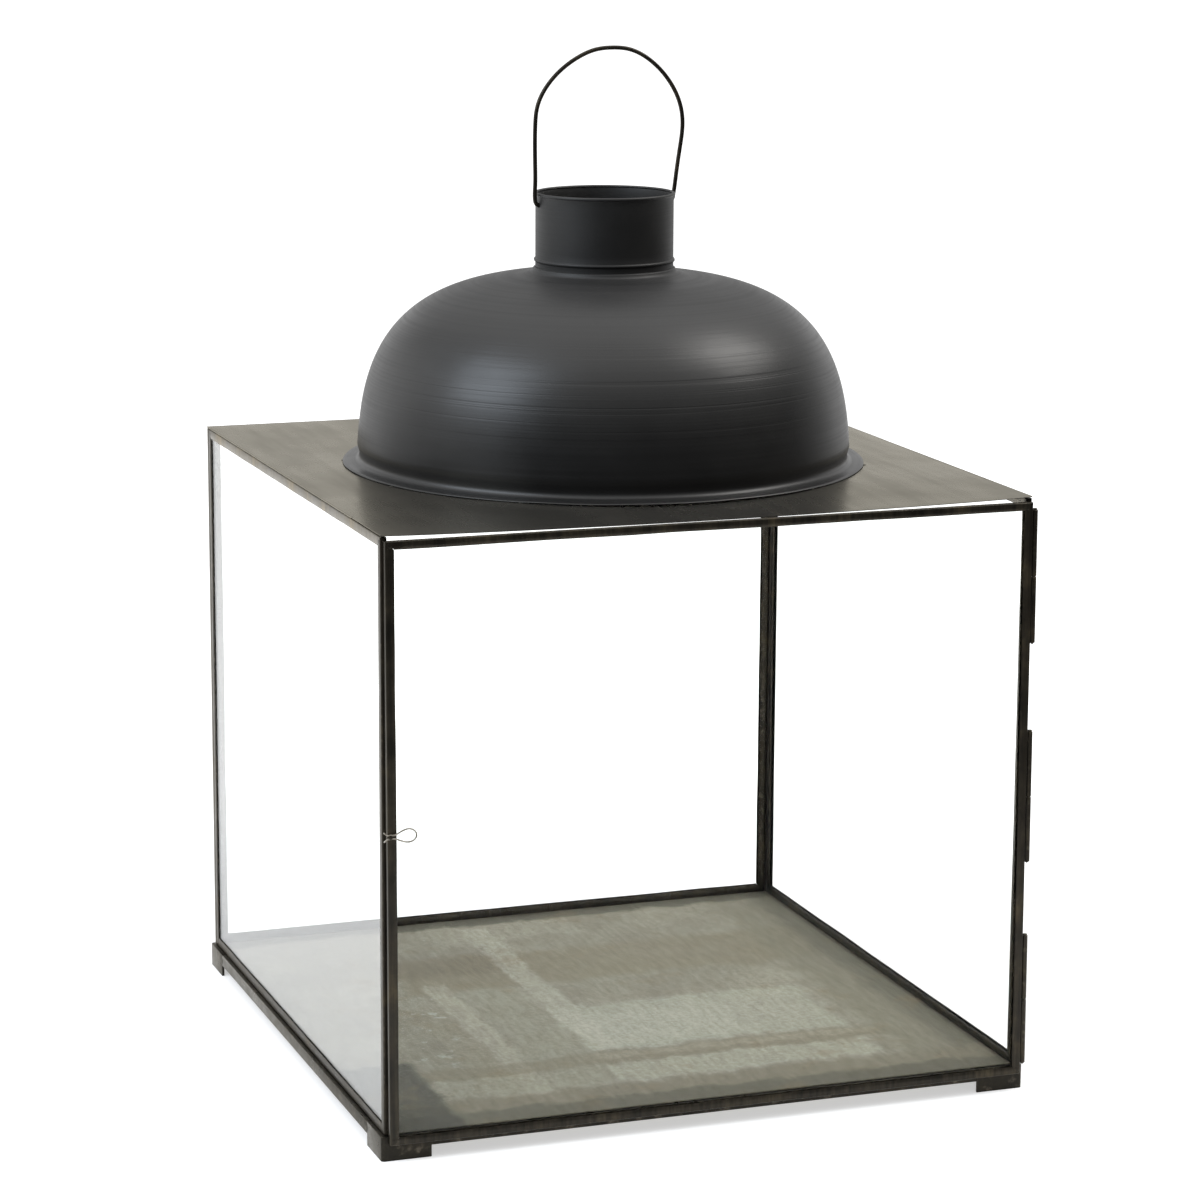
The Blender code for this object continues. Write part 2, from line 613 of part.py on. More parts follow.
def make_latch(hinge):
    """A rivet on the latch stile and the bent wire that turns on it, over the gap to the fixed stile."""
    face = -DOOR_THICKNESS / 2
    x = -HINGE_OFFSET - DOOR_WIDTH + LATCH_INSET
    z = LATCH_HEIGHT - DOOR_BOTTOM
    wire_plane = face - GAP - LATCH_WIRE
    pivot = add_empty("latch_axis", (x, wire_plane, z), parent=hinge)
    add_wire("latch_wire", latch_points(), LATCH_WIRE, WIRE, pivot, 3)
    shank_length = 2 * LATCH_WIRE + GAP + RIVET_HEAD_HEIGHT
    shank = cylinder_mesh("latch_rivet", RIVET_RADIUS, GAP, GAP + shank_length, HINGE_STEPS)
    turned = (math.pi / 2, 0, 0)
    rivet = add_object("latch_rivet", shank, BLACK_IRON, hinge, (x, face, z), turned)
    head_low = 2 * (LATCH_WIRE + GAP)
    head = cylinder_mesh(
        "latch_rivet_head", RIVET_HEAD_RADIUS, head_low, head_low + RIVET_HEAD_HEIGHT, HINGE_STEPS
    )
    boolean(rivet, "UNION", add_cutter("latch_rivet_head", head, hinge, (x, face, z), turned))


# ---------------------------------------------------------------- the whole lantern

make_base()
make_fixed_panels()
make_roof()
make_crown()
make_bail()
make_door()
for part in PARTS.objects:
    if part.type == "MESH":
        smooth(part)
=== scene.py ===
"""Looks of the square glass lantern: sheet, wire, glass and zinc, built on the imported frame."""

import json
import math

import bmesh
import bpy
import numpy as np
from mathutils import Matrix, Vector, noise


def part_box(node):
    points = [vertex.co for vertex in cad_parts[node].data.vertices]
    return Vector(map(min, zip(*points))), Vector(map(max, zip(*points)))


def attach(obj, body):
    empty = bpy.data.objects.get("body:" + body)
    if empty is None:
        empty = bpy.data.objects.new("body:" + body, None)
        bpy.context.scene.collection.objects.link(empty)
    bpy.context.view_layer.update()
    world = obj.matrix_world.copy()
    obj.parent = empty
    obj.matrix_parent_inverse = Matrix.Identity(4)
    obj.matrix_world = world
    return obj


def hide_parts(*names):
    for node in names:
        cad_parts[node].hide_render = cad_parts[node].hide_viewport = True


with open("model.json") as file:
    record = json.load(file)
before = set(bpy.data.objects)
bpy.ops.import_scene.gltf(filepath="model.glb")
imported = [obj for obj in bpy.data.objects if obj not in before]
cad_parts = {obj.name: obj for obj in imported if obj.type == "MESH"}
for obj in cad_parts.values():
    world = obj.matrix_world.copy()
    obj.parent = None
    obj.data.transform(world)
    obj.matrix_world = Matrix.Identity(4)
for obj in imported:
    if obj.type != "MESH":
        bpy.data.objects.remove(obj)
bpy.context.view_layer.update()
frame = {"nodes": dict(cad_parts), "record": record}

MM = 0.001
BODY = "lantern_body"

CHANNEL_SHEET = 0.5 * MM
CHANNEL_FOLD = 0.75 * MM  # outer radius of a folded edge
MITRE_GAP = 0.12 * MM
CHANNEL_OVERRUN = 0.2 * MM  # a strip's ends past its solid, filled by the mitre
BAR_EASE = 0.55 * MM
PLATE_EASE = 0.35 * MM

ROOF_SHEET = 0.55 * MM
ROOF_HOLE = 145.2 * MM
ROOF_CORNER = 2.0 * MM
ROOF_TRIM = 0.12 * MM
FRONT_SAG = 2.45 * MM
HEM_WIDTH = 8 * MM
HEM_START = 60 * MM  # from the front edge

DOME_RADIUS = 152.9 * MM
DOME_BELLY = -38.5 * MM  # height of the widest level, over the roof
DOME_CROWN = 116.7 * MM
DOME_SHEET = 0.75 * MM
BRIM_START = 151.5 * MM
BRIM_SOLDER_RADIUS = 161.0 * MM
COLLAR_RADIUS = 43.6 * MM
COLLAR_FOLD = 3.0 * MM
NECK_RADIUS = 42.4 * MM
NECK_SHEET = 0.7 * MM
NECK_BEAD_HEIGHT = 124.6 * MM  # over the roof
BAIL_HOLE = 1.7 * MM
BAIL_WIRE = 1.3 * MM
LATCH_WIRE = 0.45 * MM

KNUCKLE_RADIUS = 1.7 * MM
KNUCKLE_BORE = 0.88 * MM
KNUCKLE_EASE = 0.25 * MM
LEAF_EASE = 0.18 * MM

GLASS_INDEX = 1.47
THIN_GLASS_INDEX = 1.10  # for the panes that carry no reflection
SENSOR = 36.0
LENS = 113.61
SEEN_GROUND = 1.25  # the ground's strength where it is looked at
QUARTERS = ((1, 1, 0), (-1, 1, 90), (-1, -1, 180), (1, -1, 270))  # a corner's signs and its arc's start


def joint(name):
    return next(found for found in frame["record"]["behaviour"]["joints"] if found["name"] == name)


# ---------------------------------------------------------------- materials

class Tree:
    """Arithmetic on the nodes of a material or a world."""

    def __init__(self, tree):
        self.nodes = tree.nodes
        self.links = tree.links

    def socket(self, owner, name, value):
        """Links a socket or sets a plain value."""
        if isinstance(value, bpy.types.NodeSocket):
            self.links.new(value, owner.inputs[name])
        else:
            owner.inputs[name].default_value = value

    def span(self, value, low, high, to_low=0.0, to_high=1.0):
        """A smooth step from one value to another."""
        node = self.nodes.new("ShaderNodeMapRange")
        node.interpolation_type = "SMOOTHSTEP"
        self.socket(node, "Value", value)
        for name, number in zip(("From Min", "From Max", "To Min", "To Max"), (low, high, to_low, to_high)):
            node.inputs[name].default_value = number
        return node.outputs["Result"]

    def math(self, kind, first, second=0.0):
        node = self.nodes.new("ShaderNodeMath")
        node.operation = kind
        for index, value in enumerate((first, second)):
            self.socket(node, index, value)
        return node.outputs[0]


class Shade(Tree):
    """A Principled material built node by node on the object's own coordinates, in metres."""

    def __init__(self, name):
        self.material = bpy.data.materials.new(name)
        self.material.use_nodes = True
        super().__init__(self.material.node_tree)
        self.shader = self.nodes["Principled BSDF"]
        self.coords = self.nodes.new("ShaderNodeTexCoord").outputs["Object"]

    def set(self, **values):
        for name, value in values.items():
            title = name.replace("_", " ").title().replace("Bsdf", "BSDF").replace("Ior", "IOR")
            self.socket(self.shader, title, value)

    def mapped(self, scale=(1, 1, 1), shift=(0, 0, 0), turn=0.0):
        node = self.nodes.new("ShaderNodeMapping")
        self.links.new(self.coords, node.inputs["Vector"])
        node.inputs["Scale"].default_value = scale
        node.inputs["Location"].default_value = shift
        node.inputs["Rotation"].default_value = (0, 0, turn)
        return node.outputs["Vector"]

    def noise(self, vector, scale=1.0, detail=3.0, roughness=0.55, distortion=0.0):
        node = self.nodes.new("ShaderNodeTexNoise")
        self.links.new(vector, node.inputs["Vector"])
        values = (scale, detail, roughness, distortion)
        for name, value in zip(("Scale", "Detail", "Roughness", "Distortion"), values):
            node.inputs[name].default_value = value
        return node.outputs["Fac"]

    def ramp(self, factor, *stops):
        node = self.nodes.new("ShaderNodeValToRGB")
        self.links.new(factor, node.inputs["Fac"])
        elements = node.color_ramp.elements
        while len(elements) < len(stops):
            elements.new(0.5)
        for element, (place, value) in zip(elements, stops):
            element.position = place
            colour = (value, value, value) if isinstance(value, (int, float)) else value
            element.color = (*colour, 1.0)
        return node.outputs["Color"]

    def mix(self, factor, first, second, kind="MIX"):
        node = self.nodes.new("ShaderNodeMix")
        node.data_type = "RGBA"
        node.blend_type = kind
        self.socket(node, 0, factor)
        for index, value in ((6, first), (7, second)):
            if isinstance(value, bpy.types.NodeSocket):
                self.links.new(value, node.inputs[index])
            else:
                node.inputs[index].default_value = (*value, 1.0)
        return node.outputs[2]

    def axes(self):
        node = self.nodes.new("ShaderNodeSeparateXYZ")
        self.links.new(self.coords, node.inputs[0])
        return node.outputs

    def bump(self, height, distance, strength=1.0):
        node = self.nodes.new("ShaderNodeBump")
        self.links.new(height, node.inputs["Height"])
        node.inputs["Distance"].default_value = distance
        node.inputs["Strength"].default_value = strength
        previous = self.shader.inputs["Normal"].links
        if previous:
            self.links.new(previous[0].from_socket, node.inputs["Normal"])
        self.links.new(node.outputs["Normal"], self.shader.inputs["Normal"])

    def worn(self, colour, bright, low=0.52, high=0.60):
        """Rubbed metal along the folds and edges."""
        geometry = self.nodes.new("ShaderNodeNewGeometry")
        patches = self.span(self.noise(self.coords, 220.0, 4.0), 0.50, 0.78, 0.0, 0.55)
        edges = self.span(geometry.outputs["Pointiness"], low, high)
        return self.mix(self.math("MULTIPLY", edges, patches), colour, bright)


def channel_iron(name, pale):
    """Blackened, hand-rubbed iron strip with a brown patina, paler where pale is above one; a paler copy is
    painted light, for parts that catch more light.
    """
    shade = Shade(name)
    cloud = shade.noise(shade.coords, 45.0, 5.0)
    tones = (
        (0.30, (0.0190, 0.0175, 0.0150)),
        (0.56, (0.0340, 0.0300, 0.0230)),
        (0.78, (0.0760, 0.0620, 0.0400)),
    )
    tone = shade.ramp(cloud, *((place, tuple(c * pale for c in colour)) for place, colour in tones))
    lines = shade.noise(shade.mapped((420.0, 420.0, 12.0)), 1.0, 4.0, 0.6)
    rubbed = shade.ramp(lines, (0.34, (0.62, 0.61, 0.60)), (0.68, (1.55, 1.48, 1.34)))
    tone = shade.mix(0.75, tone, rubbed, "MULTIPLY")
    grit = shade.noise(shade.coords, 900.0, 3.0)
    shade.set(base_color=shade.worn(tone, (0.150, 0.128, 0.095)))
    shade.set(roughness=shade.span(cloud, 0.30, 0.75, 0.28, 0.42), metallic=0.50, specular_ior_level=0.24)
    shade.set(specular_tint=(1.0, 0.97, 0.92, 1.0))
    shade.bump(shade.noise(shade.coords, 110.0, 2.0), 0.00025, 0.6)
    shade.bump(grit, 0.00003, 0.5)
    return shade.material


def base_iron():
    """The same iron, duller, with a brown-grey bloom near the ground."""
    shade = Shade("base_iron_looks")
    cloud = shade.noise(shade.coords, 60.0, 5.0)
    tone = shade.ramp(
        cloud,
        (0.28, (0.0115, 0.0109, 0.0094)),
        (0.55, (0.0200, 0.0178, 0.0139)),
        (0.80, (0.0440, 0.0365, 0.0250)),
    )
    shade.set(base_color=shade.worn(tone, (0.150, 0.128, 0.098)))
    shade.set(roughness=shade.span(cloud, 0.30, 0.75, 0.26, 0.40), metallic=0.70, specular_ior_level=0.30)
    shade.set(specular_tint=(1.0, 0.96, 0.88, 1.0))
    shade.bump(shade.noise(shade.coords, 130.0, 3.0), 0.0003, 0.6)
    shade.bump(shade.noise(shade.coords, 1000.0, 3.0), 0.00003, 0.5)
    return shade.material


def roof_iron():
    """Rolled sheet with a satin bronze-black coat: gentle dents, rolling streaks and soft handling marks."""
    shade = Shade("roof_iron_looks")
    cloud = shade.noise(shade.coords, 9.0, 5.0, 0.6, 0.4)
    streak = shade.noise(shade.mapped((70.0, 7.0, 30.0)), 1.0, 4.0)
    tone = shade.ramp(cloud, (0.30, (0.052, 0.050, 0.046)), (0.70, (0.074, 0.070, 0.063)))
    shade.set(base_color=shade.worn(tone, (0.190, 0.170, 0.140), 0.53, 0.62))
    drawn = shade.span(streak, 0.35, 0.75, -0.02, 0.04)
    rough = shade.math("ADD", shade.span(cloud, 0.30, 0.72, 0.24, 0.32), drawn)
    shade.set(roughness=rough, metallic=0.62, specular_tint=(1.0, 0.93, 0.76, 1.0))
    shade.bump(shade.noise(shade.coords, 14.0, 2.0), 0.0012, 0.35)
    shade.bump(streak, 0.00006, 0.5)
    shade.bump(shade.noise(shade.coords, 1400.0, 2.0), 0.00002, 0.4)
    return shade.material


def dome_iron():
    """Spun sheet under a satin black coat: fine rings, a few deeper grooves at the shoulder."""
    shade = Shade("dome_iron_looks")
    z = shade.axes()[2]
    fine = shade.noise(shade.mapped((2.0, 2.0, 900.0)), 1.0, 3.0, 0.6)
    coarse = shade.noise(shade.mapped((1.6, 1.6, 330.0), (3.1, 1.7, 0.0)), 1.0, 2.0, 0.5)
    shoulder = shade.math("MULTIPLY", shade.span(z, 0.392, 0.412), shade.span(z, 0.444, 0.466, 1.0, 0.0))
    cloud = shade.noise(shade.coords, 16.0, 5.0)
    tone = shade.ramp(cloud, (0.30, (0.0085, 0.0085, 0.0086)), (0.72, (0.0140, 0.0138, 0.0136)))
    shade.set(base_color=shade.worn(tone, (0.060, 0.055, 0.048), 0.54, 0.64))
    ringed = shade.span(fine, 0.35, 0.75, -0.03, 0.04)
    rough = shade.math("ADD", shade.span(cloud, 0.3, 0.75, 0.35, 0.43), ringed)
    rough = shade.math("ADD", rough, shade.span(z, 0.452, 0.482, 0.0, 0.16))
    shade.set(roughness=rough, metallic=0.0, specular_tint=(1.0, 0.99, 0.975, 1.0))
    grooves = shade.math("MULTIPLY", shade.span(coarse, 0.36, 0.50, 0.0, 1.0), shoulder)
    shade.bump(grooves, 0.00007, 0.8)
    shade.bump(shade.math("MULTIPLY", fine, shade.span(shoulder, 0.0, 1.0, 0.35, 1.0)), 0.00005, 0.8)
    shade.bump(shade.noise(shade.coords, 22.0, 2.0), 0.0010, 0.15)
    return shade.material


def zinc_sheet():
    """Zinc-coated floor sheet, stained in strips where it was stacked, with brown bloom and scuffs; darker
    along the right and front edges and at the front-left corner, with a painted shadow of the channel along
    the back edge.
    """
    shade = Shade("zinc_floor_looks")
    warp = shade.noise(shade.coords, 40.0, 8.0, 0.72)
    other = shade.noise(shade.mapped(shift=(4.0, 2.0, 1.0)), 40.0, 8.0, 0.72)
    x, y, _ = shade.axes()
    x = shade.math("ADD", x, shade.span(warp, 0.25, 0.75, -0.0035, 0.0035))
    y = shade.math("ADD", y, shade.span(other, 0.25, 0.75, -0.0055, 0.0055))

    def patch(x0, x1, y0, y1, soft):
        """A soft-edged rectangle, in millimetres."""

        def band(value, low, high):
            rise = shade.span(value, (low - soft) * MM, (low + soft) * MM)
            fall = shade.span(value, (high - soft) * MM, (high + soft) * MM, 1.0, 0.0)
            return shade.math("MULTIPLY", rise, fall)

        return shade.math("MULTIPLY", band(x, x0, x1), band(y, y0, y1))

    cloud = shade.noise(shade.coords, 14.0, 8.0, 0.68, 0.6)
    grain = shade.noise(shade.coords, 420.0, 6.0, 0.75)
    brushed = shade.noise(shade.mapped((260.0, 46.0, 1.0), turn=-0.55), 1.0, 6.0, 0.66)
    colour = shade.ramp(
        cloud,
        (0.30, (0.232, 0.214, 0.166)),
        (0.50, (0.300, 0.282, 0.224)),
        (0.70, (0.372, 0.354, 0.286)),
    )
    stains_and_painted_shadow = (
        (patch(-110, 215, 44, 112, 9.0), (0.250, 0.222, 0.160), 0.78),
        (patch(-112, -34, 78, 118, 9.0), (0.205, 0.178, 0.130), 0.75),
        (patch(-37, 132, -100, -10, 5.0), (0.440, 0.438, 0.365), 0.66),
        (patch(-30, 70, -96, -30, 14.0), (0.475, 0.475, 0.400), 0.50),
        (patch(-37, -18, -100, 176, 2.0), (0.500, 0.488, 0.410), 0.50),
        (patch(-98, -82, -176, 60, 2.5), (0.450, 0.425, 0.345), 0.62),
        (patch(-120, -98, -176, 10, 3.0), (0.310, 0.285, 0.215), 0.60),
        (patch(-82, -38, -120, 40, 2.5), (0.330, 0.318, 0.252), 0.70),
        (patch(-150, 150, -122, -102, 3.0), (0.245, 0.222, 0.165), 0.72),
        (patch(-40, 132, -156, -124, 4.0), (0.455, 0.445, 0.365), 0.62),
        (patch(-150, -42, -158, -124, 4.0), (0.370, 0.355, 0.280), 0.55),
        (patch(-40, 160, -114, -104, 2.5), (0.400, 0.370, 0.285), 0.45),
        (patch(-60, 40, 140, 186, 9.0), (0.420, 0.400, 0.320), 0.45),
        # Darker along the right edge, the front edge and in the front-left corner.
        (patch(146, 215, -215, 215, 9.0), (0.235, 0.220, 0.168), 0.80),
        (patch(176, 215, -215, 215, 8.0), (0.150, 0.142, 0.110), 0.80),
        (patch(-215, 215, -215, -160, 5.0), (0.230, 0.210, 0.158), 0.80),
        (patch(-215, 215, -215, -180, 3.5), (0.135, 0.127, 0.097), 0.80),
        (patch(-215, -150, -215, -84, 4.0), (0.078, 0.077, 0.064), 0.90),
        # Painted shadow of the back channel along the back edge.
        (patch(-215, 215, 182, 230, 3.0), (0.095, 0.090, 0.068), 0.80),
    )
    for mask, tint, share in stains_and_painted_shadow:
        broken = shade.math("MULTIPLY", mask, shade.span(grain, 0.25, 0.60, 0.55 * share, share))
        colour = shade.mix(broken, colour, tint)
    flecks = shade.span(shade.noise(shade.coords, 70.0, 8.0, 0.75), 0.57, 0.64)
    flecks = shade.math("MULTIPLY", flecks, patch(-152, -90, -110, 40, 10.0))
    colour = shade.mix(shade.math("MULTIPLY", flecks, 0.55), colour, (0.560, 0.560, 0.500))
    bloom = shade.noise(shade.mapped(shift=(9.0, 1.0, 3.0)), 26.0, 8.0, 0.72)
    rust = shade.span(bloom, 0.54, 0.72, 0.0, 0.50)
    colour = shade.mix(rust, colour, (0.250, 0.195, 0.120))
    tint = shade.ramp(
        grain,
        (0.32, (0.74, 0.73, 0.71)),
        (0.52, (0.98, 0.98, 0.97)),
        (0.70, (1.17, 1.18, 1.19)),
    )
    colour = shade.mix(0.75, colour, tint, "MULTIPLY")
    tint = shade.ramp(brushed, (0.32, (0.80, 0.79, 0.76)), (0.66, (1.12, 1.12, 1.12)))
    colour = shade.mix(0.85, colour, tint, "MULTIPLY")
    shade.set(base_color=colour, metallic=0.0, specular_ior_level=0.16)
    shade.set(roughness=shade.span(cloud, 0.30, 0.75, 0.55, 0.75))
    shade.bump(shade.noise(shade.coords, 11.0, 2.0), 0.0012, 0.25)
    shade.bump(grain, 0.00005, 0.5)
    return shade.material


def pane_glass(name, index):
    """Clear float glass with a faint green body. A low index gives a pane that hardly reflects."""
    shade = Shade(name)
    shade.set(base_color=(0.985, 0.995, 0.985, 1.0), roughness=0.0, metallic=0.0)
    shade.set(ior=index, transmission_weight=1.0)
    wave = shade.noise(shade.coords, 6.0, 1.0)
    shade.bump(wave, 0.0004, 0.10)
    return shade.material


def bright_wire():
    """Drawn wire, bright in places and tarnished brown in others."""
    shade = Shade("bright_wire_looks")
    cloud = shade.noise(shade.coords, 320.0, 4.0)
    tone = shade.ramp(
        cloud,
        (0.30, (0.150, 0.125, 0.095)),
        (0.60, (0.400, 0.370, 0.320)),
        (0.85, (0.560, 0.540, 0.500)),
    )
    shade.set(base_color=tone, metallic=0.9, roughness=shade.span(cloud, 0.3, 0.8, 0.42, 0.24))
    shade.bump(shade.noise(shade.coords, 1500.0, 2.0), 0.00002, 0.5)
    return shade.material


LOOKS = {
    "black_iron": channel_iron("channel_iron", 1.0),
    # The next two are the same channel iron made paler: painted light on the panels' top rails and the back
    # corner posts.
    "rail_iron_painted_light": channel_iron("pale_rail_iron", 3.4),
    "post_iron_painted_light": channel_iron("post_iron_painted_light", 1.9),
    "base_iron": base_iron(),
    "roof_iron": roof_iron(),
    "dome_iron": dome_iron(),
    "zinc_sheet": zinc_sheet(),
    "clear_glass": pane_glass("pane_glass", GLASS_INDEX),
    "bright_wire": bright_wire(),
}


# ---------------------------------------------------------------- mesh helpers

def around(count):
    """Cosine and sine of evenly spaced turns."""
    return [(math.cos(math.tau * k / count), math.sin(math.tau * k / count)) for k in range(count)]


def wobble(seed, place, reach):
    """Smooth unevenness of hand-folded metal, between about -reach and reach. place is in metres."""
    return reach * 1.6 * noise.noise(Vector((place * 14.0, seed * 7.31, seed * 1.77)))


def piece(name, mesh, slot, body=BODY, replaces=(), angle=35.0, look=None):
    """Adds a finished mesh as a piece that rides on a body."""
    obj = bpy.data.objects.new(name, mesh)
    bpy.context.scene.collection.objects.link(obj)
    mesh.materials.append(LOOKS[look or slot])
    mesh.shade_smooth()
    mesh.set_sharp_from_angle(angle=math.radians(angle))
    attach(obj, body)
    if replaces:
        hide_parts(*replaces)


def finished(shape, name):
    bmesh.ops.recalc_face_normals(shape, faces=shape.faces)
    mesh = bpy.data.meshes.new(name)
    shape.to_mesh(mesh)
    shape.free()
    return mesh


def loft(rings, name, looped=False, into=None):
    """Skins a list of closed rings of points that all have the same count."""
    shape = into or bmesh.new()
    rows = [[shape.verts.new(point) for point in ring] for ring in rings]
    pairs = list(zip(rows, rows[1:]))
    if looped:
        pairs.append((rows[-1], rows[0]))
    for first, second in pairs:
        for i in range(len(first)):
            j = (i + 1) % len(first)
            shape.faces.new((first[i], first[j], second[j], second[i]))
    if not looped:
        shape.faces.new(rows[0])
        shape.faces.new(rows[-1])
    return None if into else finished(shape, name)


def revolve(section, steps, name, centre, shift=None):
    """Turns a closed section of (radius, height) points about Z. shift gives each point's unevenness."""
    rings = []
    for k in range(steps):
        turn = math.tau * k / steps
        ring = []
        for radius, height in section:
            dr, dz = shift(radius, height, turn) if shift else (0.0, 0.0)
            r = radius + dr
            x, y = centre[0] + r * math.cos(turn), centre[1] + r * math.sin(turn)
            ring.append((x, y, centre[2] + height + dz))
        rings.append(ring)
    return loft(rings, name, looped=True)


def thick_section(profile, sheet):
    """Closes an open outer profile (top to bottom) into a sheet's section with rounded ends."""
    points = [Vector(p) for p in profile]
    inner = []
    for i, point in enumerate(points):
        before = points[max(i - 1, 0)]
        after = points[min(i + 1, len(points) - 1)]
        way = (after - before).normalized()
        inner.append(point + Vector((way.y, -way.x)) * sheet)
    first_way = (points[0] - points[1]).normalized() * sheet * 0.3
    last_way = (points[-1] - points[-2]).normalized() * sheet * 0.3
    start = (points[0] + inner[0]) / 2 + first_way
    end = (points[-1] + inner[-1]) / 2 + last_way
    ring = [start] + points + [end] + inner[::-1]
    return [(p.x, p.y) for p in ring]


def smooth_path(points, count):
    """Evenly spaced points on a natural cubic spline through the given ones."""
    knots = np.array(points, float)
    steps = np.linalg.norm(np.diff(knots, axis=0), axis=1)
    size = len(knots)
    system = np.zeros((size, size))
    right = np.zeros((size, 3))
    system[0, 0] = system[-1, -1] = 1.0
    for i in range(1, size - 1):
        system[i, i - 1 : i + 2] = (steps[i - 1], 2 * (steps[i - 1] + steps[i]), steps[i])
        right[i] = 6 * ((knots[i + 1] - knots[i]) / steps[i] - (knots[i] - knots[i - 1]) / steps[i - 1])
    bend = np.linalg.solve(system, right)
    dense = []
    for i in range(size - 1):
        span = steps[i]
        for t in np.linspace(0, span, 24, endpoint=False):
            ahead, behind = (span - t), t
            point = (bend[i] * ahead**3 + bend[i + 1] * behind**3) / (6 * span)
            point = point + (knots[i] / span - bend[i] * span / 6) * ahead
            dense.append(point + (knots[i + 1] / span - bend[i + 1] * span / 6) * behind)
    dense.append(knots[-1])
    dense = np.array(dense)
    lengths = np.concatenate(([0.0], np.cumsum(np.linalg.norm(np.diff(dense, axis=0), axis=1))))
    wanted = np.linspace(0, lengths[-1], count)
    return [Vector([np.interp(w, lengths, dense[:, axis]) for axis in range(3)]) for w in wanted]


def tube(points, radius, sides, name):
    """A round wire along a path, with domed ends."""
    rings = []
    way = (points[1] - points[0]).normalized()
    side = way.orthogonal().normalized()
    count = len(points)
    for i, point in enumerate(points):
        way = (points[min(i + 1, count - 1)] - points[max(i - 1, 0)]).normalized()
        side = (side - way * side.dot(way)).normalized()
        up = way.cross(side)
        rings.append([point + (side * c + up * s) * radius for c, s in around(sides)])
    for end, inner in ((0, 1), (-1, -2)):
        outward = (points[end] - points[inner]).normalized() * radius
        tips = []
        for share in (0.45, 0.80):
            scale = math.sqrt(1 - share * share)
            reach = outward * share
            tips.append([points[end] + (Vector(v) - points[end]) * scale + reach for v in rings[end]])
        rings = rings + tips if end else tips[::-1] + rings
    return loft(rings, name)


# ---------------------------------------------------------------- folded channels

def channel_section(depth, thickness, sheet, fold):
    """Points (across, inwards, crimped) of a folded channel with rounded folds; crimped is 1 at the lips."""
    half = thickness / 2
    points = []
    for centre, start in (((-half + fold, fold), 180), ((half - fold, fold), 270)):
        for k in range(6):
            a = math.radians(start + 90 * k / 5)
            points.append((centre[0] + fold * math.cos(a), centre[1] + fold * math.sin(a), 0))
    lip = 0.25 * sheet
    flank = [
        (half, depth * 0.5, 0), (half - lip, depth - lip, 1), (half - sheet / 2, depth, 1),
        (half - sheet, depth - lip, 1), (half - sheet, depth * 0.5, 0), (half - sheet, sheet, 0),
    ]
    return points + flank + [(-a, d, crimped) for a, d, crimped in reversed(flank)]


def channel(name, start, end, inward, across, depth, thickness, mitre, seed, body, node, place=None):
    """One folded strip of a glazed frame, its web along start-end, mitred at both ends."""
    section = channel_section(depth, thickness, CHANNEL_SHEET, CHANNEL_FOLD)
    start, end, inward, across = (Vector(v) for v in (start, end, inward, across))
    length = (end - start).length
    along = (end - start).normalized()
    count = max(12, int(length / 0.012))
    rings = []
    for k in range(count + 1):
        s = length * k / count
        hold = min(1.0, s / 0.02, (length - s) / 0.02)
        sway = hold * wobble(seed, s, 0.16 * MM)
        sink = hold * wobble(seed + 40, s, 0.18 * MM)
        crimp = hold * wobble(seed + 80, s * 2.5, 0.16 * MM)
        ring = []
        for a, d, lip in section:
            reach = min(max(s, MITRE_GAP + d * mitre), length - MITRE_GAP - d * mitre)
            spot = start + along * reach + across * (a + sway * 0.6)
            ring.append(spot + inward * (d + sink * 0.5 + crimp * lip))
        rings.append(ring)
    mesh = loft(rings, name)
    if place is not None:
        mesh.transform(place)
    # The fixed panels' top rails take the paler iron: painted light.
    look = "rail_iron_painted_light" if node.endswith("panel_top_rail") else "black_iron"
    return piece(name, mesh, "black_iron", body, (node,), 50.0, look)


def solder(spots, name, slot, body=BODY, place=None):
    """Adds small uneven blobs of solder: (centre, size, seed) each, size as three half-widths."""
    shape = bmesh.new()
    for centre, size, seed in spots:
        made = bmesh.ops.create_icosphere(shape, subdivisions=3, radius=1.0)["verts"]
        for vert in made:
            swell = 1 + 0.35 * noise.noise(vert.co * 1.7 + Vector((seed * 3.1, seed, -seed)))
            vert.co = Vector(centre) + Vector(c * s * swell for c, s in zip(vert.co, size))
    mesh = finished(shape, name)
    if place is not None:
        mesh.transform(place)
    piece(name, mesh, slot, body)


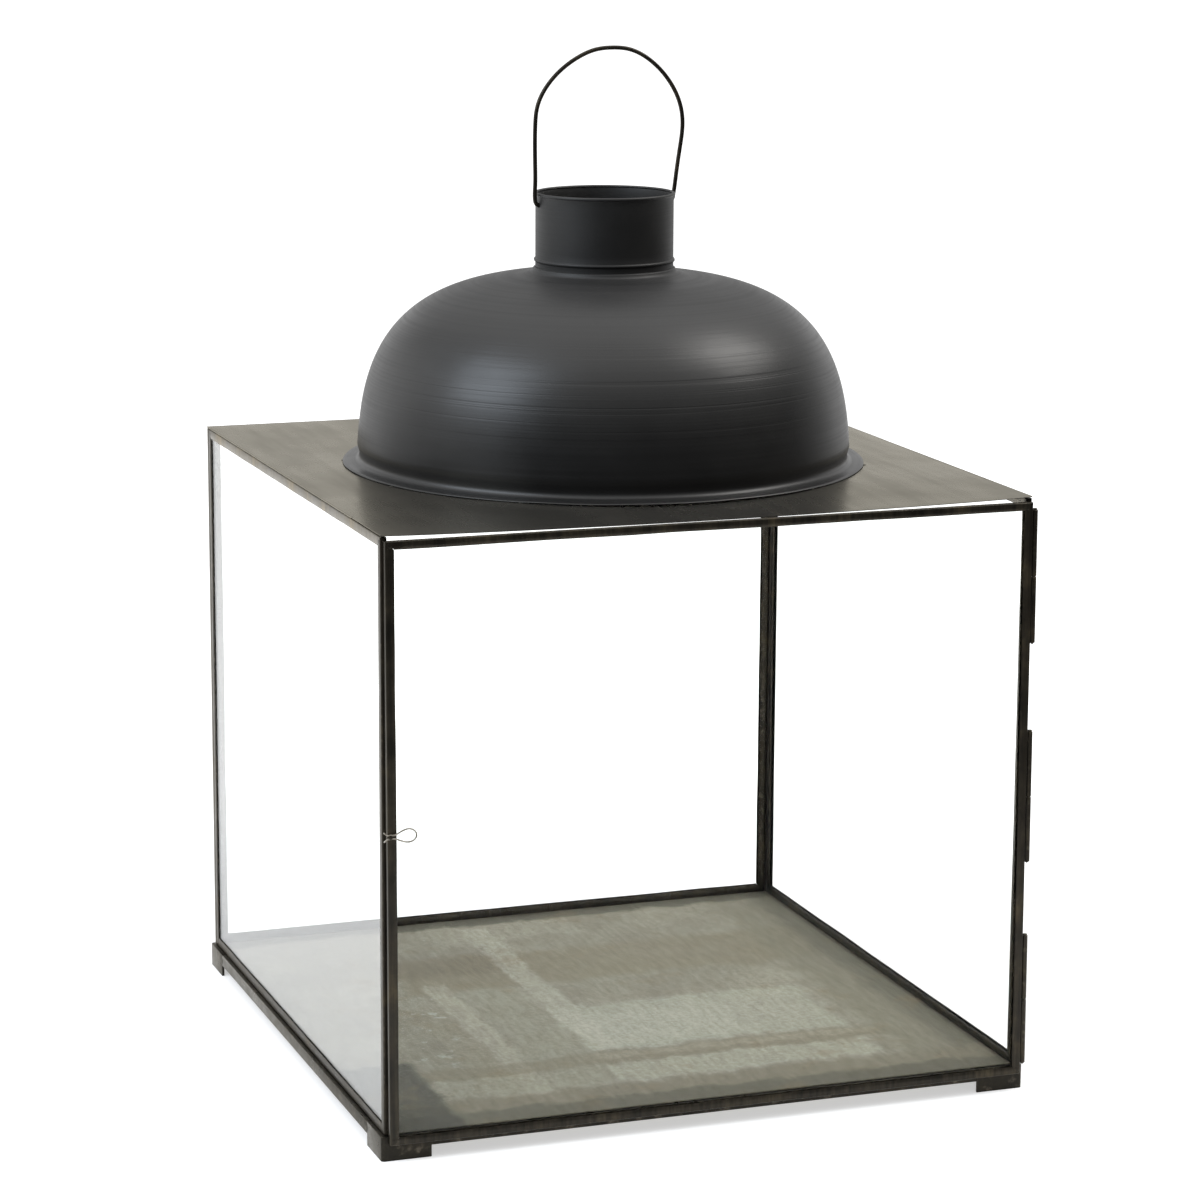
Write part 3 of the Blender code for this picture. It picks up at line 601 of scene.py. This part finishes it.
def fixed_panels():
    """The left, right and back frames, each strip placed by its CAD solid's box."""
    seed = 1
    for side, across, sign in (("left", (1, 0, 0), -1), ("right", (1, 0, 0), 1), ("back", (0, 1, 0), 1)):
        along = 1 if side != "back" else 0
        stiles = ("front_stile", "back_stile") if side != "back" else ("left_stile", "right_stile")
        for node_name in ("bottom_rail", "top_rail", *stiles):
            node = f"{side}_panel_{node_name}"
            low, high = (Vector(v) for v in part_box(node))
            middle = (low + high) / 2
            thickness = high[1 - along] - low[1 - along]
            start, end = middle.copy(), middle.copy()
            inward = Vector((0, 0, 0))
            if node_name.endswith("rail"):
                start[along], end[along] = low[along] - CHANNEL_OVERRUN, high[along] + CHANNEL_OVERRUN
                up = node_name == "bottom_rail"
                start.z = end.z = low.z if up else high.z
                inward.z = 1 if up else -1
                depth = high.z - low.z
            else:
                start.z, end.z = low.z - CHANNEL_OVERRUN, high.z + CHANNEL_OVERRUN
                first = node_name == stiles[0]
                start[along] = end[along] = low[along] if first else high[along]
                inward[along] = 1 if first else -1
                depth = high[along] - low[along]
            channel(f"{node}_strip", start, end, inward, across, depth, thickness, 1.0, seed, BODY, node)
            seed += 1
        spots = []
        low, high = (Vector(v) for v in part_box(f"{side}_panel_glass"))
        for a in (0, 1):
            for b in (0, 1):
                corner = (low + high) / 2
                corner[along] = (low, high)[a][along] + (0.5 - a) * 4.4 * MM
                corner.z = (low, high)[b].z + (0.5 - b) * 4.4 * MM
                corner[1 - along] += sign * 1.75 * MM
                size = [1.9 * MM] * 3
                size[1 - along] = 0.42 * MM
                spots.append((corner, size, seed + a + 2 * b))
        solder(spots, f"{side}_panel_solder", "black_iron")


def corner_posts():
    """Square bars in the two back corners, their edges eased."""
    for side in ("left", "right"):
        node = f"corner_post_back_{side}"
        low, high = (Vector(v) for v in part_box(node))
        middle, half = (low + high) / 2, (high - low) / 2
        rings = []
        count = 28
        for k in range(count + 1):
            z = low.z + (high.z - low.z) * k / count
            ring = []
            for cx, cy, start in QUARTERS:
                for j in range(5):
                    a = math.radians(start + 90 * j / 4)
                    x = middle.x + cx * (half.x - BAR_EASE) + BAR_EASE * math.cos(a)
                    y = middle.y + cy * (half.y - BAR_EASE) + BAR_EASE * math.sin(a)
                    ring.append((x + wobble(11 + cx, z, 0.10 * MM), y + wobble(12 + cy, z, 0.10 * MM), z))
            rings.append(ring)
        # The back posts take a paler copy of the iron: painted light.
        piece(f"{node}_bar", loft(rings, node), "black_iron", BODY, (node,), 50.0, "post_iron_painted_light")


# ---------------------------------------------------------------- base

def eased_copy(node, name, slot, ease):
    """The CAD solid's form with its edges and folds eased, as bent sheet has them."""
    source = frame["nodes"][node]
    shape = bmesh.new()
    shape.from_mesh(source.data)
    bmesh.ops.remove_doubles(shape, verts=shape.verts, dist=1e-6)
    bmesh.ops.dissolve_limit(shape, angle_limit=math.radians(2), verts=shape.verts, edges=shape.edges)
    edges = [e for e in shape.edges if len(e.link_faces) == 2 and e.calc_face_angle(0) > math.radians(30)]
    bmesh.ops.bevel(
        shape, geom=edges, offset=ease, segments=3, profile=0.5, affect="EDGES", clamp_overlap=True
    )
    piece(name, finished(shape, name), slot, BODY, (node,), 45.0)


def base():
    """Feet and rails, and a seam of solder on each foot's two ends."""
    corners = (("front_left", 1, 1), ("front_right", -1, 1), ("back_left", 1, -1), ("back_right", -1, -1))
    for corner, _, _ in corners:
        eased_copy(f"foot_{corner}", f"foot_{corner}_plate", "base_iron", PLATE_EASE)
    for side in ("front", "right", "back", "left"):
        eased_copy(f"base_rail_{side}", f"base_rail_{side}_fold", "base_iron", PLATE_EASE)
    inset, height = 0.35 * MM, 10.5 * MM
    wide, thin, tall = 0.9 * MM, 0.5 * MM, 3.2 * MM
    spots = []
    for k, (corner, sx, sy) in enumerate(corners):
        low, high = (Vector(v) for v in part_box(f"foot_{corner}"))
        outer = Vector((low.x if sx > 0 else high.x, low.y if sy > 0 else high.y, 0))
        reach = high.x - low.x
        spots.append((outer + Vector((sx * reach, sy * inset, height)), (wide, thin, tall), k))
        spots.append((outer + Vector((sx * inset, sy * reach, height)), (thin, wide, tall), k + 5))
    solder(spots, "base_solder", "base_iron")


def floor_sheet():
    """The zinc sheet, very slightly buckled between the ledges that hold its edges."""
    low, high = (Vector(v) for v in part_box("floor_plate"))
    count = 60
    shape = bmesh.new()
    grid = bmesh.ops.create_grid(shape, x_segments=count, y_segments=count, size=0.5)["verts"]
    for vert in grid:
        u, v = vert.co.x + 0.5, vert.co.y + 0.5
        hold = min(1.0, 6 * min(u, 1 - u, v, 1 - v))
        x = low.x + (high.x - low.x) * u
        y = low.y + (high.y - low.y) * v
        rise = hold * 0.45 * MM * noise.noise(Vector((x * 9, y * 9, 3.3)))
        vert.co = (x, y, high.z - 0.05 * MM + rise)
    bmesh.ops.solidify(shape, geom=shape.faces[:], thickness=high.z - low.z - 0.1 * MM)
    piece("floor_sheet", finished(shape, "floor_sheet"), "zinc_sheet", BODY, ("floor_plate",))


# ---------------------------------------------------------------- roof

def roof():
    """The flat sheet with its round opening, dished slightly at the front, and the folded-under hems."""
    low, high = (Vector(v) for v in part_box("roof_plate"))
    centre_x = joint("bail_pivot")["pos_m"][0]
    per_side = 56
    outline = []
    for sx, sy, start in QUARTERS:
        cx = (high.x - ROOF_CORNER) if sx > 0 else (low.x + ROOF_CORNER)
        cy = (high.y - ROOF_CORNER) if sy > 0 else (low.y + ROOF_CORNER)
        for k in range(5):
            a = math.radians(start + 90 * k / 4)
            outline.append(Vector((cx + ROOF_CORNER * math.cos(a), cy + ROOF_CORNER * math.sin(a))))
        here = outline[-1].copy()
        step_x, step_y = {0: (-1, 0), 90: (0, -1), 180: (1, 0), 270: (0, 1)}[start]
        reach = (high.x - low.x if step_x else high.y - low.y) - 2 * ROOF_CORNER
        for k in range(1, per_side):
            outline.append(here + Vector((step_x, step_y)) * reach * k / per_side)
    rows = 16
    shape = bmesh.new()
    top, bottom = [], []
    for k in range(rows + 1):
        t = (k / rows) ** 0.9
        ring_top, ring_bottom = [], []
        for spot in outline:
            way = (spot - Vector((centre_x, 0))).normalized()
            near = Vector((centre_x, 0)) + way * ROOF_HOLE
            x, y = near.lerp(spot, t)
            inset = ROOF_TRIM if k == rows else 0.0
            z = high.z + roof_lift(x, y, low, high)
            ring_top.append(shape.verts.new((x, y, z - inset)))
            ring_bottom.append(shape.verts.new((x, y, z - ROOF_SHEET + inset)))
        top.append(ring_top)
        bottom.append(ring_bottom)
    count = len(outline)
    for rows_of, flip in ((top, False), (bottom, True)):
        for a, b in zip(rows_of, rows_of[1:]):
            for i in range(count):
                j = (i + 1) % count
                shape.faces.new((a[i], b[i], b[j], a[j]) if not flip else (a[j], b[j], b[i], a[i]))
    for a, b in ((top[0], bottom[0]), (top[-1], bottom[-1])):
        for i in range(count):
            j = (i + 1) % count
            shape.faces.new((a[i], a[j], b[j], b[i]))
    piece("roof_sheet", finished(shape, "roof_sheet"), "roof_iron", BODY, ("roof_plate",), 40.0)
    hems(low, high)


def roof_lift(x, y, low, high):
    """Height of the roof sheet over its nominal plane: soft waves, and a sag along the free front edge."""
    wave = 0.30 * MM * noise.noise(Vector((x * 8.0, y * 8.0, 1.9)))
    wave += 0.12 * MM * noise.noise(Vector((x * 26.0, y * 26.0, 7.0)))
    edge = min(x - low.x, high.x - x, high.y - y)
    wave *= min(1.0, max(0.0, edge / 0.03))
    front = min(1.0, max(0.0, (-y - 0.120) / 0.081))
    span = min(1.0, max(0.0, (x - low.x) / (high.x - low.x)))
    sag = -FRONT_SAG * math.sin(math.pi * span) ** 0.7 * front * front * (3 - 2 * front)
    return wave * (1 - front) + sag


def hems(low, high):
    """The safe edge: the sheet is folded under itself along the left, right and back."""
    radius = (high.z - low.z) / 2
    fold = low.z + 0.42 * MM
    front = low.y + HEM_START
    runs = (
        ("left", (low.x, high.y), (low.x, front), (1, 0)),
        ("right", (high.x, front), (high.x, high.y), (-1, 0)),
        ("back", (high.x, high.y), (low.x, high.y), (0, -1)),
    )
    for number, (side, start, end, inward) in enumerate(runs):
        start, end, inward = Vector(start), Vector(end), Vector(inward)
        section = [(1.4 * MM, high.z - 0.04 * MM)]
        for k in range(9):
            a = math.radians(90 + 180 * k / 8)
            z = low.z + radius + radius * math.sin(a) + (0.01 * MM if k < 4 else 0)
            section.append((radius + radius * math.cos(a) - 0.02 * MM, z))
        section += [(HEM_WIDTH, low.z), (HEM_WIDTH, fold), (1.2 * MM, fold), (0.9 * MM, low.z + 0.5 * MM)]
        length = (end - start).length
        rings = []
        count = 40
        for k in range(count + 1):
            s = length * k / count
            hold = min(1.0, s / 0.02, (length - s) / 0.02)
            sway = hold * 0.10 * MM * noise.noise(Vector((s * 30, number * 5.0, 0.5)))
            ring = []
            for u, z in section:
                droop = sway if u > 2 * MM else 0
                in_from_corner = u if side == "back" else 0.0
                trim = min(max(s, in_from_corner), length - in_from_corner)
                spot = start + (end - start).normalized() * trim + inward * u
                ring.append((spot.x, spot.y, z + droop))
            rings.append(ring)
        piece(f"roof_hem_{side}", loft(rings, f"roof_hem_{side}"), "roof_iron", BODY, (), 50.0)


# ---------------------------------------------------------------- dome and chimney

def dome():
    centre_x = joint("bail_pivot")["pos_m"][0]
    roof_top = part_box("roof_plate")[1][2]
    base_z = roof_top + 0.05 * MM
    profile = [(COLLAR_RADIUS, DOME_CROWN + 3.0 * MM), (COLLAR_RADIUS + 0.05 * MM, DOME_CROWN + 2.2 * MM)]
    for k in range(1, 7):
        a = math.radians(180 + 75 * k / 6)
        r = COLLAR_RADIUS + COLLAR_FOLD + COLLAR_FOLD * math.cos(a)
        profile.append((r, DOME_CROWN + 3.1 * MM + COLLAR_FOLD * math.sin(a)))
    steps = 110
    for k in range(1, steps + 1):
        a = math.radians(90 - 90 * k / steps)
        r = DOME_RADIUS * math.cos(a) ** (2 / 3.2)
        h = DOME_BELLY + (DOME_CROWN - DOME_BELLY) * math.sin(a) ** (2 / 3.6)
        if r > COLLAR_RADIUS + 6.5 * MM and h > 10.5 * MM:
            profile.append((r, h))
    foot = (
        (151.55, 9.0), (151.1, 7.2), (150.85, 5.8), (150.85, 4.8), (151.05, 3.9), (151.5, 3.05), (152.2, 2.3),
        (153.2, 1.7), (154.5, 1.3), (156.2, 1.05), (158.4, 0.88), (160.9, 0.75),
    )
    for r, h in foot:
        profile.append((r * MM, h * MM))
    section = thick_section(profile, DOME_SHEET)

    def shift(r, h, turn):
        """Uneven trimming and lift of the brim, and the faint out-of-round of spun sheet."""
        way = Vector((math.cos(turn), math.sin(turn), 0))
        brim = min(1.0, max(0.0, (r - BRIM_START) / (9 * MM))) if h < 4 * MM else 0.0
        trim = brim * (0.8 * noise.noise(way * 2.2) + 0.16 * noise.noise(way * 9.0)) * MM
        lift = brim * max(0.0, 0.30 * noise.noise(way * 4.5 + Vector((5, 0, 0)))) * MM
        out_of_round = 0.0
        if h < 112 * MM and r > 60 * MM:
            out_of_round = 0.25 * MM * noise.noise(way * 1.3 + Vector((0, 3, 0)))
        return trim + out_of_round, lift

    mesh = revolve(section, 240, "dome_shell", (centre_x, 0, base_z), shift)
    piece("dome_shell", mesh, "dome_iron", BODY, ("dome",), 60.0)
    spots = []
    for k, turn in enumerate(math.radians(t) for t in (24, 71, 118, 163, 199, 233, 301, 335)):
        size = (0.9 + 0.3 * math.sin(k * 1.9)) * MM
        x, y = centre_x + BRIM_SOLDER_RADIUS * math.cos(turn), BRIM_SOLDER_RADIUS * math.sin(turn)
        spots.append(((x, y, base_z), (size * 1.6, size * 1.4, 0.28 * MM), k))
    solder(spots, "brim_solder", "roof_iron")


def neck():
    """Rolled rim, straight wall with its bead, and the two bail holes."""
    pivot = Vector(joint("bail_pivot")["pos_m"])
    low, high = (Vector(v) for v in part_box("chimney_neck"))
    radius = NECK_RADIUS
    top = high.z
    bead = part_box("roof_plate")[1][2] + NECK_BEAD_HEIGHT
    profile = []
    for k in range(13):
        a = math.radians(170 - 245 * k / 12)
        profile.append((radius - 0.1 * MM + 1.0 * MM * math.cos(a), top - 1.0 * MM + 1.0 * MM * math.sin(a)))
    profile += [(radius, top - 2.6 * MM), (radius, top - 6 * MM)]
    profile += [(radius, bead + 6 * MM), (radius, bead + 1.5 * MM)]
    for k in range(9):
        a = math.radians(72 - 144 * k / 8)
        profile.append((radius - 0.25 * MM + 1.15 * MM * math.cos(a), bead + 1.15 * MM * math.sin(a)))
    profile += [(radius, bead - 1.5 * MM), (radius + 0.05 * MM, bead - 4 * MM)]
    profile += [(radius, bead - 8 * MM), (radius, low.z)]
    section = thick_section(profile, NECK_SHEET)
    mesh = revolve(section, 160, "neck_shell", (pivot.x, 0, 0))
    holder = bpy.data.objects.new("neck_uncut", mesh)
    bpy.context.scene.collection.objects.link(holder)
    drill = bmesh.new()
    bmesh.ops.create_cone(
        drill, cap_ends=True, segments=24, radius1=BAIL_HOLE, radius2=BAIL_HOLE, depth=0.1,
        matrix=Matrix.Translation(pivot) @ Matrix.Rotation(math.pi / 2, 4, "Y"),
    )
    cutter = bpy.data.objects.new("neck_drill", finished(drill, "neck_drill"))
    bpy.context.scene.collection.objects.link(cutter)
    modifier = holder.modifiers.new("holes", "BOOLEAN")
    modifier.object = cutter
    modifier.solver = "EXACT"
    graph = bpy.context.evaluated_depsgraph_get()
    cut = bpy.data.meshes.new_from_object(holder.evaluated_get(graph))
    bpy.data.objects.remove(holder)
    bpy.data.objects.remove(cutter)
    cut.materials.clear()
    piece("neck_shell", cut, "dome_iron", BODY, ("chimney_neck",), 40.0)
    ring = []
    r = radius + 0.35 * MM
    for across, away in around(96):
        swell = (0.62 + 0.16 * noise.noise(Vector((across * 4, away * 4, 2.2)))) * MM
        spot = Vector((pivot.x + r * across, r * away, bead - 5.0 * MM))
        out = Vector((across, away, 0)) * swell
        lift = Vector((0, 0, swell))
        ring.append([spot + out * c + lift * s for c, s in around(10)])
    piece("collar_solder", loft(ring, "collar_solder", looped=True), "dome_iron")


def bail():
    """The hand-bent wire: hooks through the holes, uneven legs and a round arch."""
    pivot = Vector(joint("bail_pivot")["pos_m"])
    arch = (
        (-39.2, 0.0), (-42.6, -0.1), (-44.2, 0.9), (-44.9, 3.2), (-44.8, 12.0), (-44.8, 23.0),
        (-44.9, 48.0), (-43.6, 59.4), (-34.4, 75.6), (-18.0, 88.6), (-6.0, 93.4), (4.4, 94.4),
        (15.4, 93.3), (30.0, 85.8), (41.4, 74.0), (48.8, 59.4), (50.5, 49.0), (49.0, 33.0),
        (46.5, 15.4), (45.3, 6.5), (44.7, 3.0), (44.0, 0.9), (42.4, -0.1), (39.2, 0.0),
    )
    points = [(pivot.x + x * MM, 0.12 * MM * math.sin(z * 0.09), pivot.z + z * MM) for x, z in arch]
    mesh = tube(smooth_path(points, 150), BAIL_WIRE, 18, "bail_wire")
    piece("bail_wire", mesh, "black_iron", "bail", ("bail_handle",), 60.0)


# ---------------------------------------------------------------- door

DOOR = joint("door_hinge")
LEAN = math.atan2(DOOR["axis"][1], DOOR["axis"][2])
DOOR_PLACE = Matrix.Translation(DOOR["pos_m"]) @ Matrix.Rotation(-LEAN, 4, "X")


def door_box(node):
    """A node's box in the leaning door's own space."""
    back = DOOR_PLACE.inverted()
    spots = np.array([back @ v.co for v in frame["nodes"][node].data.vertices])
    return Vector(spots.min(0)), Vector(spots.max(0))


def door():
    across = (0, 1, 0)
    for seed, name in enumerate(("bottom_rail", "top_rail", "latch_stile", "hinge_stile")):
        low, high = door_box(f"door_{name}")
        y = (low.y + high.y) / 2
        thickness = high.y - low.y
        if name.endswith("rail"):
            z = low.z if name == "bottom_rail" else high.z
            start, end = (low.x - CHANNEL_OVERRUN, y, z), (high.x + CHANNEL_OVERRUN, y, z)
            inward = (0, 0, 1 if name == "bottom_rail" else -1)
            depth, other = high.z - low.z, 5.4 * MM
        else:
            x = low.x if name == "latch_stile" else high.x
            start, end = (x, y, low.z - CHANNEL_OVERRUN), (x, y, high.z + CHANNEL_OVERRUN)
            inward = (1 if name == "latch_stile" else -1, 0, 0)
            depth, other = high.x - low.x, 4.8 * MM
        channel(
            f"door_{name}_strip", start, end, inward, across, depth, thickness, other / depth,
            60 + seed, "door", f"door_{name}", DOOR_PLACE,
        )
    low, high = door_box("door_glass")
    spots = []
    for a in (0, 1):
        for b in (0, 1):
            x = (low.x, high.x)[a] + (0.5 - a) * 4.2 * MM
            z = (low.z, high.z)[b] + (0.5 - b) * 3.8 * MM
            spots.append(((x, -1.75 * MM, z), (2.0 * MM, 0.42 * MM, 1.8 * MM), 7 * a + 3 * b))
    solder(spots, "door_solder", "black_iron", "door", DOOR_PLACE)


def barrel_rings(low, high):
    """A rolled knuckle: chamfered ends and a bore."""
    inner, outer, ease = KNUCKLE_BORE, KNUCKLE_RADIUS, KNUCKLE_EASE
    section = [(inner, high - ease), (inner + ease, high), (outer - ease, high), (outer, high - ease)]
    section += [(outer, low + ease), (outer - ease, low), (inner + ease, low), (inner, low + ease)]
    return [[(r * c, r * s, z) for r, z in section] for c, s in around(40)]


def leaf_rings(low, high, x0, x1, y0, y1):
    """A hinge leaf: thin plate with eased edges, running up the channel."""
    ease = LEAF_EASE
    rings = []
    count = 10
    for k in range(count + 1):
        z = low + (high - low) * k / count
        pull = ease if k in (0, count) else 0.0
        rings.append([
            (x0 + ease + pull, y0 + pull, z), (x1 - ease - pull, y0 + pull, z),
            (x1 - pull, y0 + ease + pull, z), (x1 - pull, y1 - ease - pull, z),
            (x1 - ease - pull, y1 - pull, z), (x0 + ease + pull, y1 - pull, z),
            (x0 + pull, y1 - ease - pull, z), (x0 + pull, y0 + ease + pull, z),
        ])
    return rings


def hinges():
    for name in ("low", "middle", "high"):
        low, high = door_box(f"hinge_{name}_frame_knuckle")
        shape = bmesh.new()
        loft(barrel_rings(low.z, high.z), "", looped=True, into=shape)
        loft(leaf_rings(low.z, high.z, -0.6 * MM, 0.05 * MM, 1.0 * MM, high.y), "", into=shape)
        mesh = finished(shape, f"hinge_{name}_frame_half")
        mesh.transform(DOOR_PLACE)
        piece(f"hinge_{name}_frame_half", mesh, "black_iron", BODY, (f"hinge_{name}_frame_knuckle",), 40.0)
        low, high = door_box(f"hinge_{name}_door_knuckle")
        shape = bmesh.new()
        loft(barrel_rings(low.z, high.z), "", looped=True, into=shape)
        loft(leaf_rings(low.z, high.z, -1.75 * MM, -1.15 * MM, -1.9 * MM, 1.9 * MM), "", into=shape)
        mesh = finished(shape, f"hinge_{name}_door_half")
        mesh.transform(DOOR_PLACE)
        piece(f"hinge_{name}_door_half", mesh, "black_iron", "door", (f"hinge_{name}_door_knuckle",), 40.0)
        low, high = door_box(f"hinge_{name}_pin")
        rings = []
        for z, r in (
            (low.z, 0.5), (low.z + 0.25 * MM, 0.78), (high.z - 0.85 * MM, 0.8), (high.z - 0.82 * MM, 1.35),
            (high.z - 0.45 * MM, 1.4), (high.z - 0.15 * MM, 1.1), (high.z, 0.5),
        ):
            rings.append([(r * MM * c, r * MM * s, z) for c, s in around(32)])
        mesh = loft(rings, f"hinge_{name}_pin_turned")
        mesh.transform(DOOR_PLACE)
        piece(f"hinge_{name}_pin_turned", mesh, "black_iron", BODY, (f"hinge_{name}_pin",), 40.0)


def latch():
    """The bent wire with its drop-shaped loop, its tails sprung over the fixed stile, and the rivet."""
    turn = joint("latch_turn")
    pivot = Vector(turn["pos_m"])
    lean = Matrix.Rotation(-LEAN, 4, "X")
    place = Matrix.Translation(pivot) @ lean
    shape = (
        (-3.5, 2.6), (-2.3, 1.6), (-1.2, 1.05), (0.0, 1.15), (1.4, 0.95), (3.0, 1.15),
        (5.0, 2.1), (7.6, 3.4), (10.2, 4.1), (12.7, 3.8), (14.6, 2.5), (15.5, 0.4),
        (14.9, -1.7), (13.0, -3.1), (10.4, -3.5), (7.6, -2.9), (5.0, -1.9), (3.0, -1.15),
        (1.4, -0.95), (0.0, -1.15), (-1.2, -1.05), (-2.4, -1.7), (-3.4, -2.5),
    )
    points = [(x * MM, 0.0, z * MM) for x, z in shape]
    mesh = tube(smooth_path(points, 110), LATCH_WIRE, 14, "latch_bent_wire")
    mesh.transform(place)
    piece("latch_bent_wire", mesh, "bright_wire", "latch", ("latch_wire",), 60.0)
    low, high = door_box("latch_rivet")
    middle = (low + high) / 2
    rings = []
    for y, r in (
        (high.y, 0.5), (low.y + 0.5 * MM, 0.5), (low.y + 0.46 * MM, 1.2),
        (low.y + 0.3 * MM, 1.3), (low.y + 0.1 * MM, 1.0), (low.y, 0.45),
    ):
        rings.append([(middle.x + r * MM * c, y, middle.z + r * MM * s) for c, s in around(28)])
    mesh = loft(rings, "latch_rivet_head")
    mesh.transform(DOOR_PLACE)
    piece("latch_rivet_head", mesh, "black_iron", "door", ("latch_rivet",), 40.0)


# ---------------------------------------------------------------- studio

def camera():
    """The main view: slightly above, from the front left, with a long lens."""
    elevation, azimuth, roll = (math.radians(v) for v in (11.727, -19.66, 0.289))
    level = math.cos(elevation)
    back = Vector((math.sin(azimuth) * level, -math.cos(azimuth) * level, math.sin(elevation)))
    right = Vector((math.cos(azimuth), math.sin(azimuth), 0))
    up = back.cross(right)
    x_axis = right * math.cos(roll) + up * math.sin(roll)
    y_axis = up * math.cos(roll) - right * math.sin(roll)
    data = bpy.data.cameras.new("camera")
    data.sensor_width = SENSOR
    data.lens = LENS
    data.clip_end = 50.0
    made = bpy.data.objects.new("camera", data)
    bpy.context.scene.collection.objects.link(made)
    spin = Matrix((x_axis, y_axis, back)).transposed().to_4x4()
    spot = x_axis * 0.00224 + y_axis * 0.2702 + back * 2.4234
    made.matrix_world = Matrix.Translation(spot) @ spin
    bpy.context.scene.camera = made


def area_light(name, place, target, size, power, colour):
    data = bpy.data.lights.new(name, "AREA")
    data.shape = "RECTANGLE"
    data.size, data.size_y = size
    data.energy = power
    data.color = colour
    made = bpy.data.objects.new(name, data)
    bpy.context.scene.collection.objects.link(made)
    made.location = place
    made.rotation_euler = (Vector(target) - Vector(place)).to_track_quat("-Z", "Y").to_euler()


def studio():
    """A white sweep behind, a dim room in front, a bright ceiling, and two soft boxes."""
    bpy.context.scene.view_settings.view_transform = "Standard"
    world = bpy.data.worlds.new("studio")
    world.use_nodes = True
    bpy.context.scene.world = world
    room = Tree(world.node_tree)
    way = room.nodes.new("ShaderNodeTexCoord").outputs["Generated"]

    def towards(axis):
        node = room.nodes.new("ShaderNodeVectorMath")
        node.operation = "DOT_PRODUCT"
        room.links.new(way, node.inputs[0])
        node.inputs[1].default_value = axis
        return node.outputs["Value"]

    front = towards((-0.3365, -0.9417, 0.0))
    right = towards((0.9417, -0.3365, 0.0))
    height = towards((0.0, 0.0, 1.0))
    rear = room.span(front, -0.85, -0.15, 1.0, 0.0)
    ceiling = room.span(height, 0.45, 1.0)
    dim_side = room.math("ADD", room.math("ADD", 0.02, room.span(height, 0.02, 0.62, 0.0, 0.46)), ceiling)
    sweep = room.math("ADD", room.span(height, 0.05, 0.55, 1.0, 0.60), ceiling)
    lit = room.math("ADD", dim_side, room.math("MULTIPLY", rear, room.math("SUBTRACT", sweep, dim_side)))
    left_glow = room.span(right, -0.98, -0.55, 1.0, 0.0)
    left_glow = room.math("MULTIPLY", left_glow, room.span(height, 0.35, 0.75, 0.9, 0.0))
    left_glow = room.math("MULTIPLY", left_glow, room.span(height, -0.06, 0.02))
    lit = room.math("ADD", lit, left_glow)
    paths = room.nodes.new("ShaderNodeLightPath").outputs
    seen = room.math("MAXIMUM", paths["Is Camera Ray"], paths["Is Transmission Ray"])
    strength = room.math("ADD", lit, room.math("MULTIPLY", seen, room.math("SUBTRACT", SEEN_GROUND, lit)))
    ground = room.nodes["Background"]
    ground.inputs["Color"].default_value = (1.0, 1.0, 1.0, 1.0)
    room.links.new(strength, ground.inputs["Strength"])
    area_light("left_box", (-2.08, -0.34, 1.85), (0, 0, 0.4), (1.5, 1.5), 38.0, (0.78, 0.88, 1.0))
    area_light("right_box", (1.53, -0.42, 2.16), (0, 0, 0.4), (1.1, 1.1), 22.0, (1.0, 0.985, 0.96))


def stage():
    """A round pale floor, mostly behind the lantern, as bright at its rim as the sweep."""
    shape = bmesh.new()
    rings = 24
    steps = 96
    rows = []
    for k in range(rings + 1):
        share = k / rings  # outwards
        r = 0.02 + 1.75 * share**1.5
        cx, cy = -0.30 * share, 1.00 * share
        rows.append([(cx + r * c, cy + r * s, 0.0) for c, s in around(steps)])
    verts = [[shape.verts.new(p) for p in row] for row in rows]
    for a, b in zip(verts, verts[1:]):
        for i in range(steps):
            j = (i + 1) % steps
            shape.faces.new((a[i], b[i], b[j], a[j]))
    shape.faces.new(verts[0])
    mesh = finished(shape, "pale_floor")
    made = bpy.data.objects.new("pale_floor", mesh)
    bpy.context.scene.collection.objects.link(made)
    paper = Shade("pale_paper")
    tone = paper.ramp(paper.noise(paper.coords, 1.5, 2.0), (0.3, 0.61), (0.7, 0.63))
    paper.set(base_color=tone, roughness=0.9, specular_ior_level=0.1)
    x, y, _ = paper.axes()
    away = paper.math("SQRT", paper.math("ADD", paper.math("MULTIPLY", x, x), paper.math("MULTIPLY", y, y)))
    paper.set(emission_color=(1.0, 1.0, 1.0, 1.0), emission_strength=paper.span(away, 0.28, 0.75, 0.52, 0.85))
    mesh.materials.append(paper.material)


# ---------------------------------------------------------------- the whole scene

camera()
studio()
stage()
base()
floor_sheet()
fixed_panels()
corner_posts()
roof()
dome()
neck()
bail()
door()
hinges()
latch()
thin_glass = pane_glass("thin_pane_glass", THIN_GLASS_INDEX)
for name, shown in frame["nodes"].items():
    if name.endswith("glass"):
        for place in shown.material_slots:
            place.material = LOOKS["clear_glass"] if name.startswith("left") else thin_glass
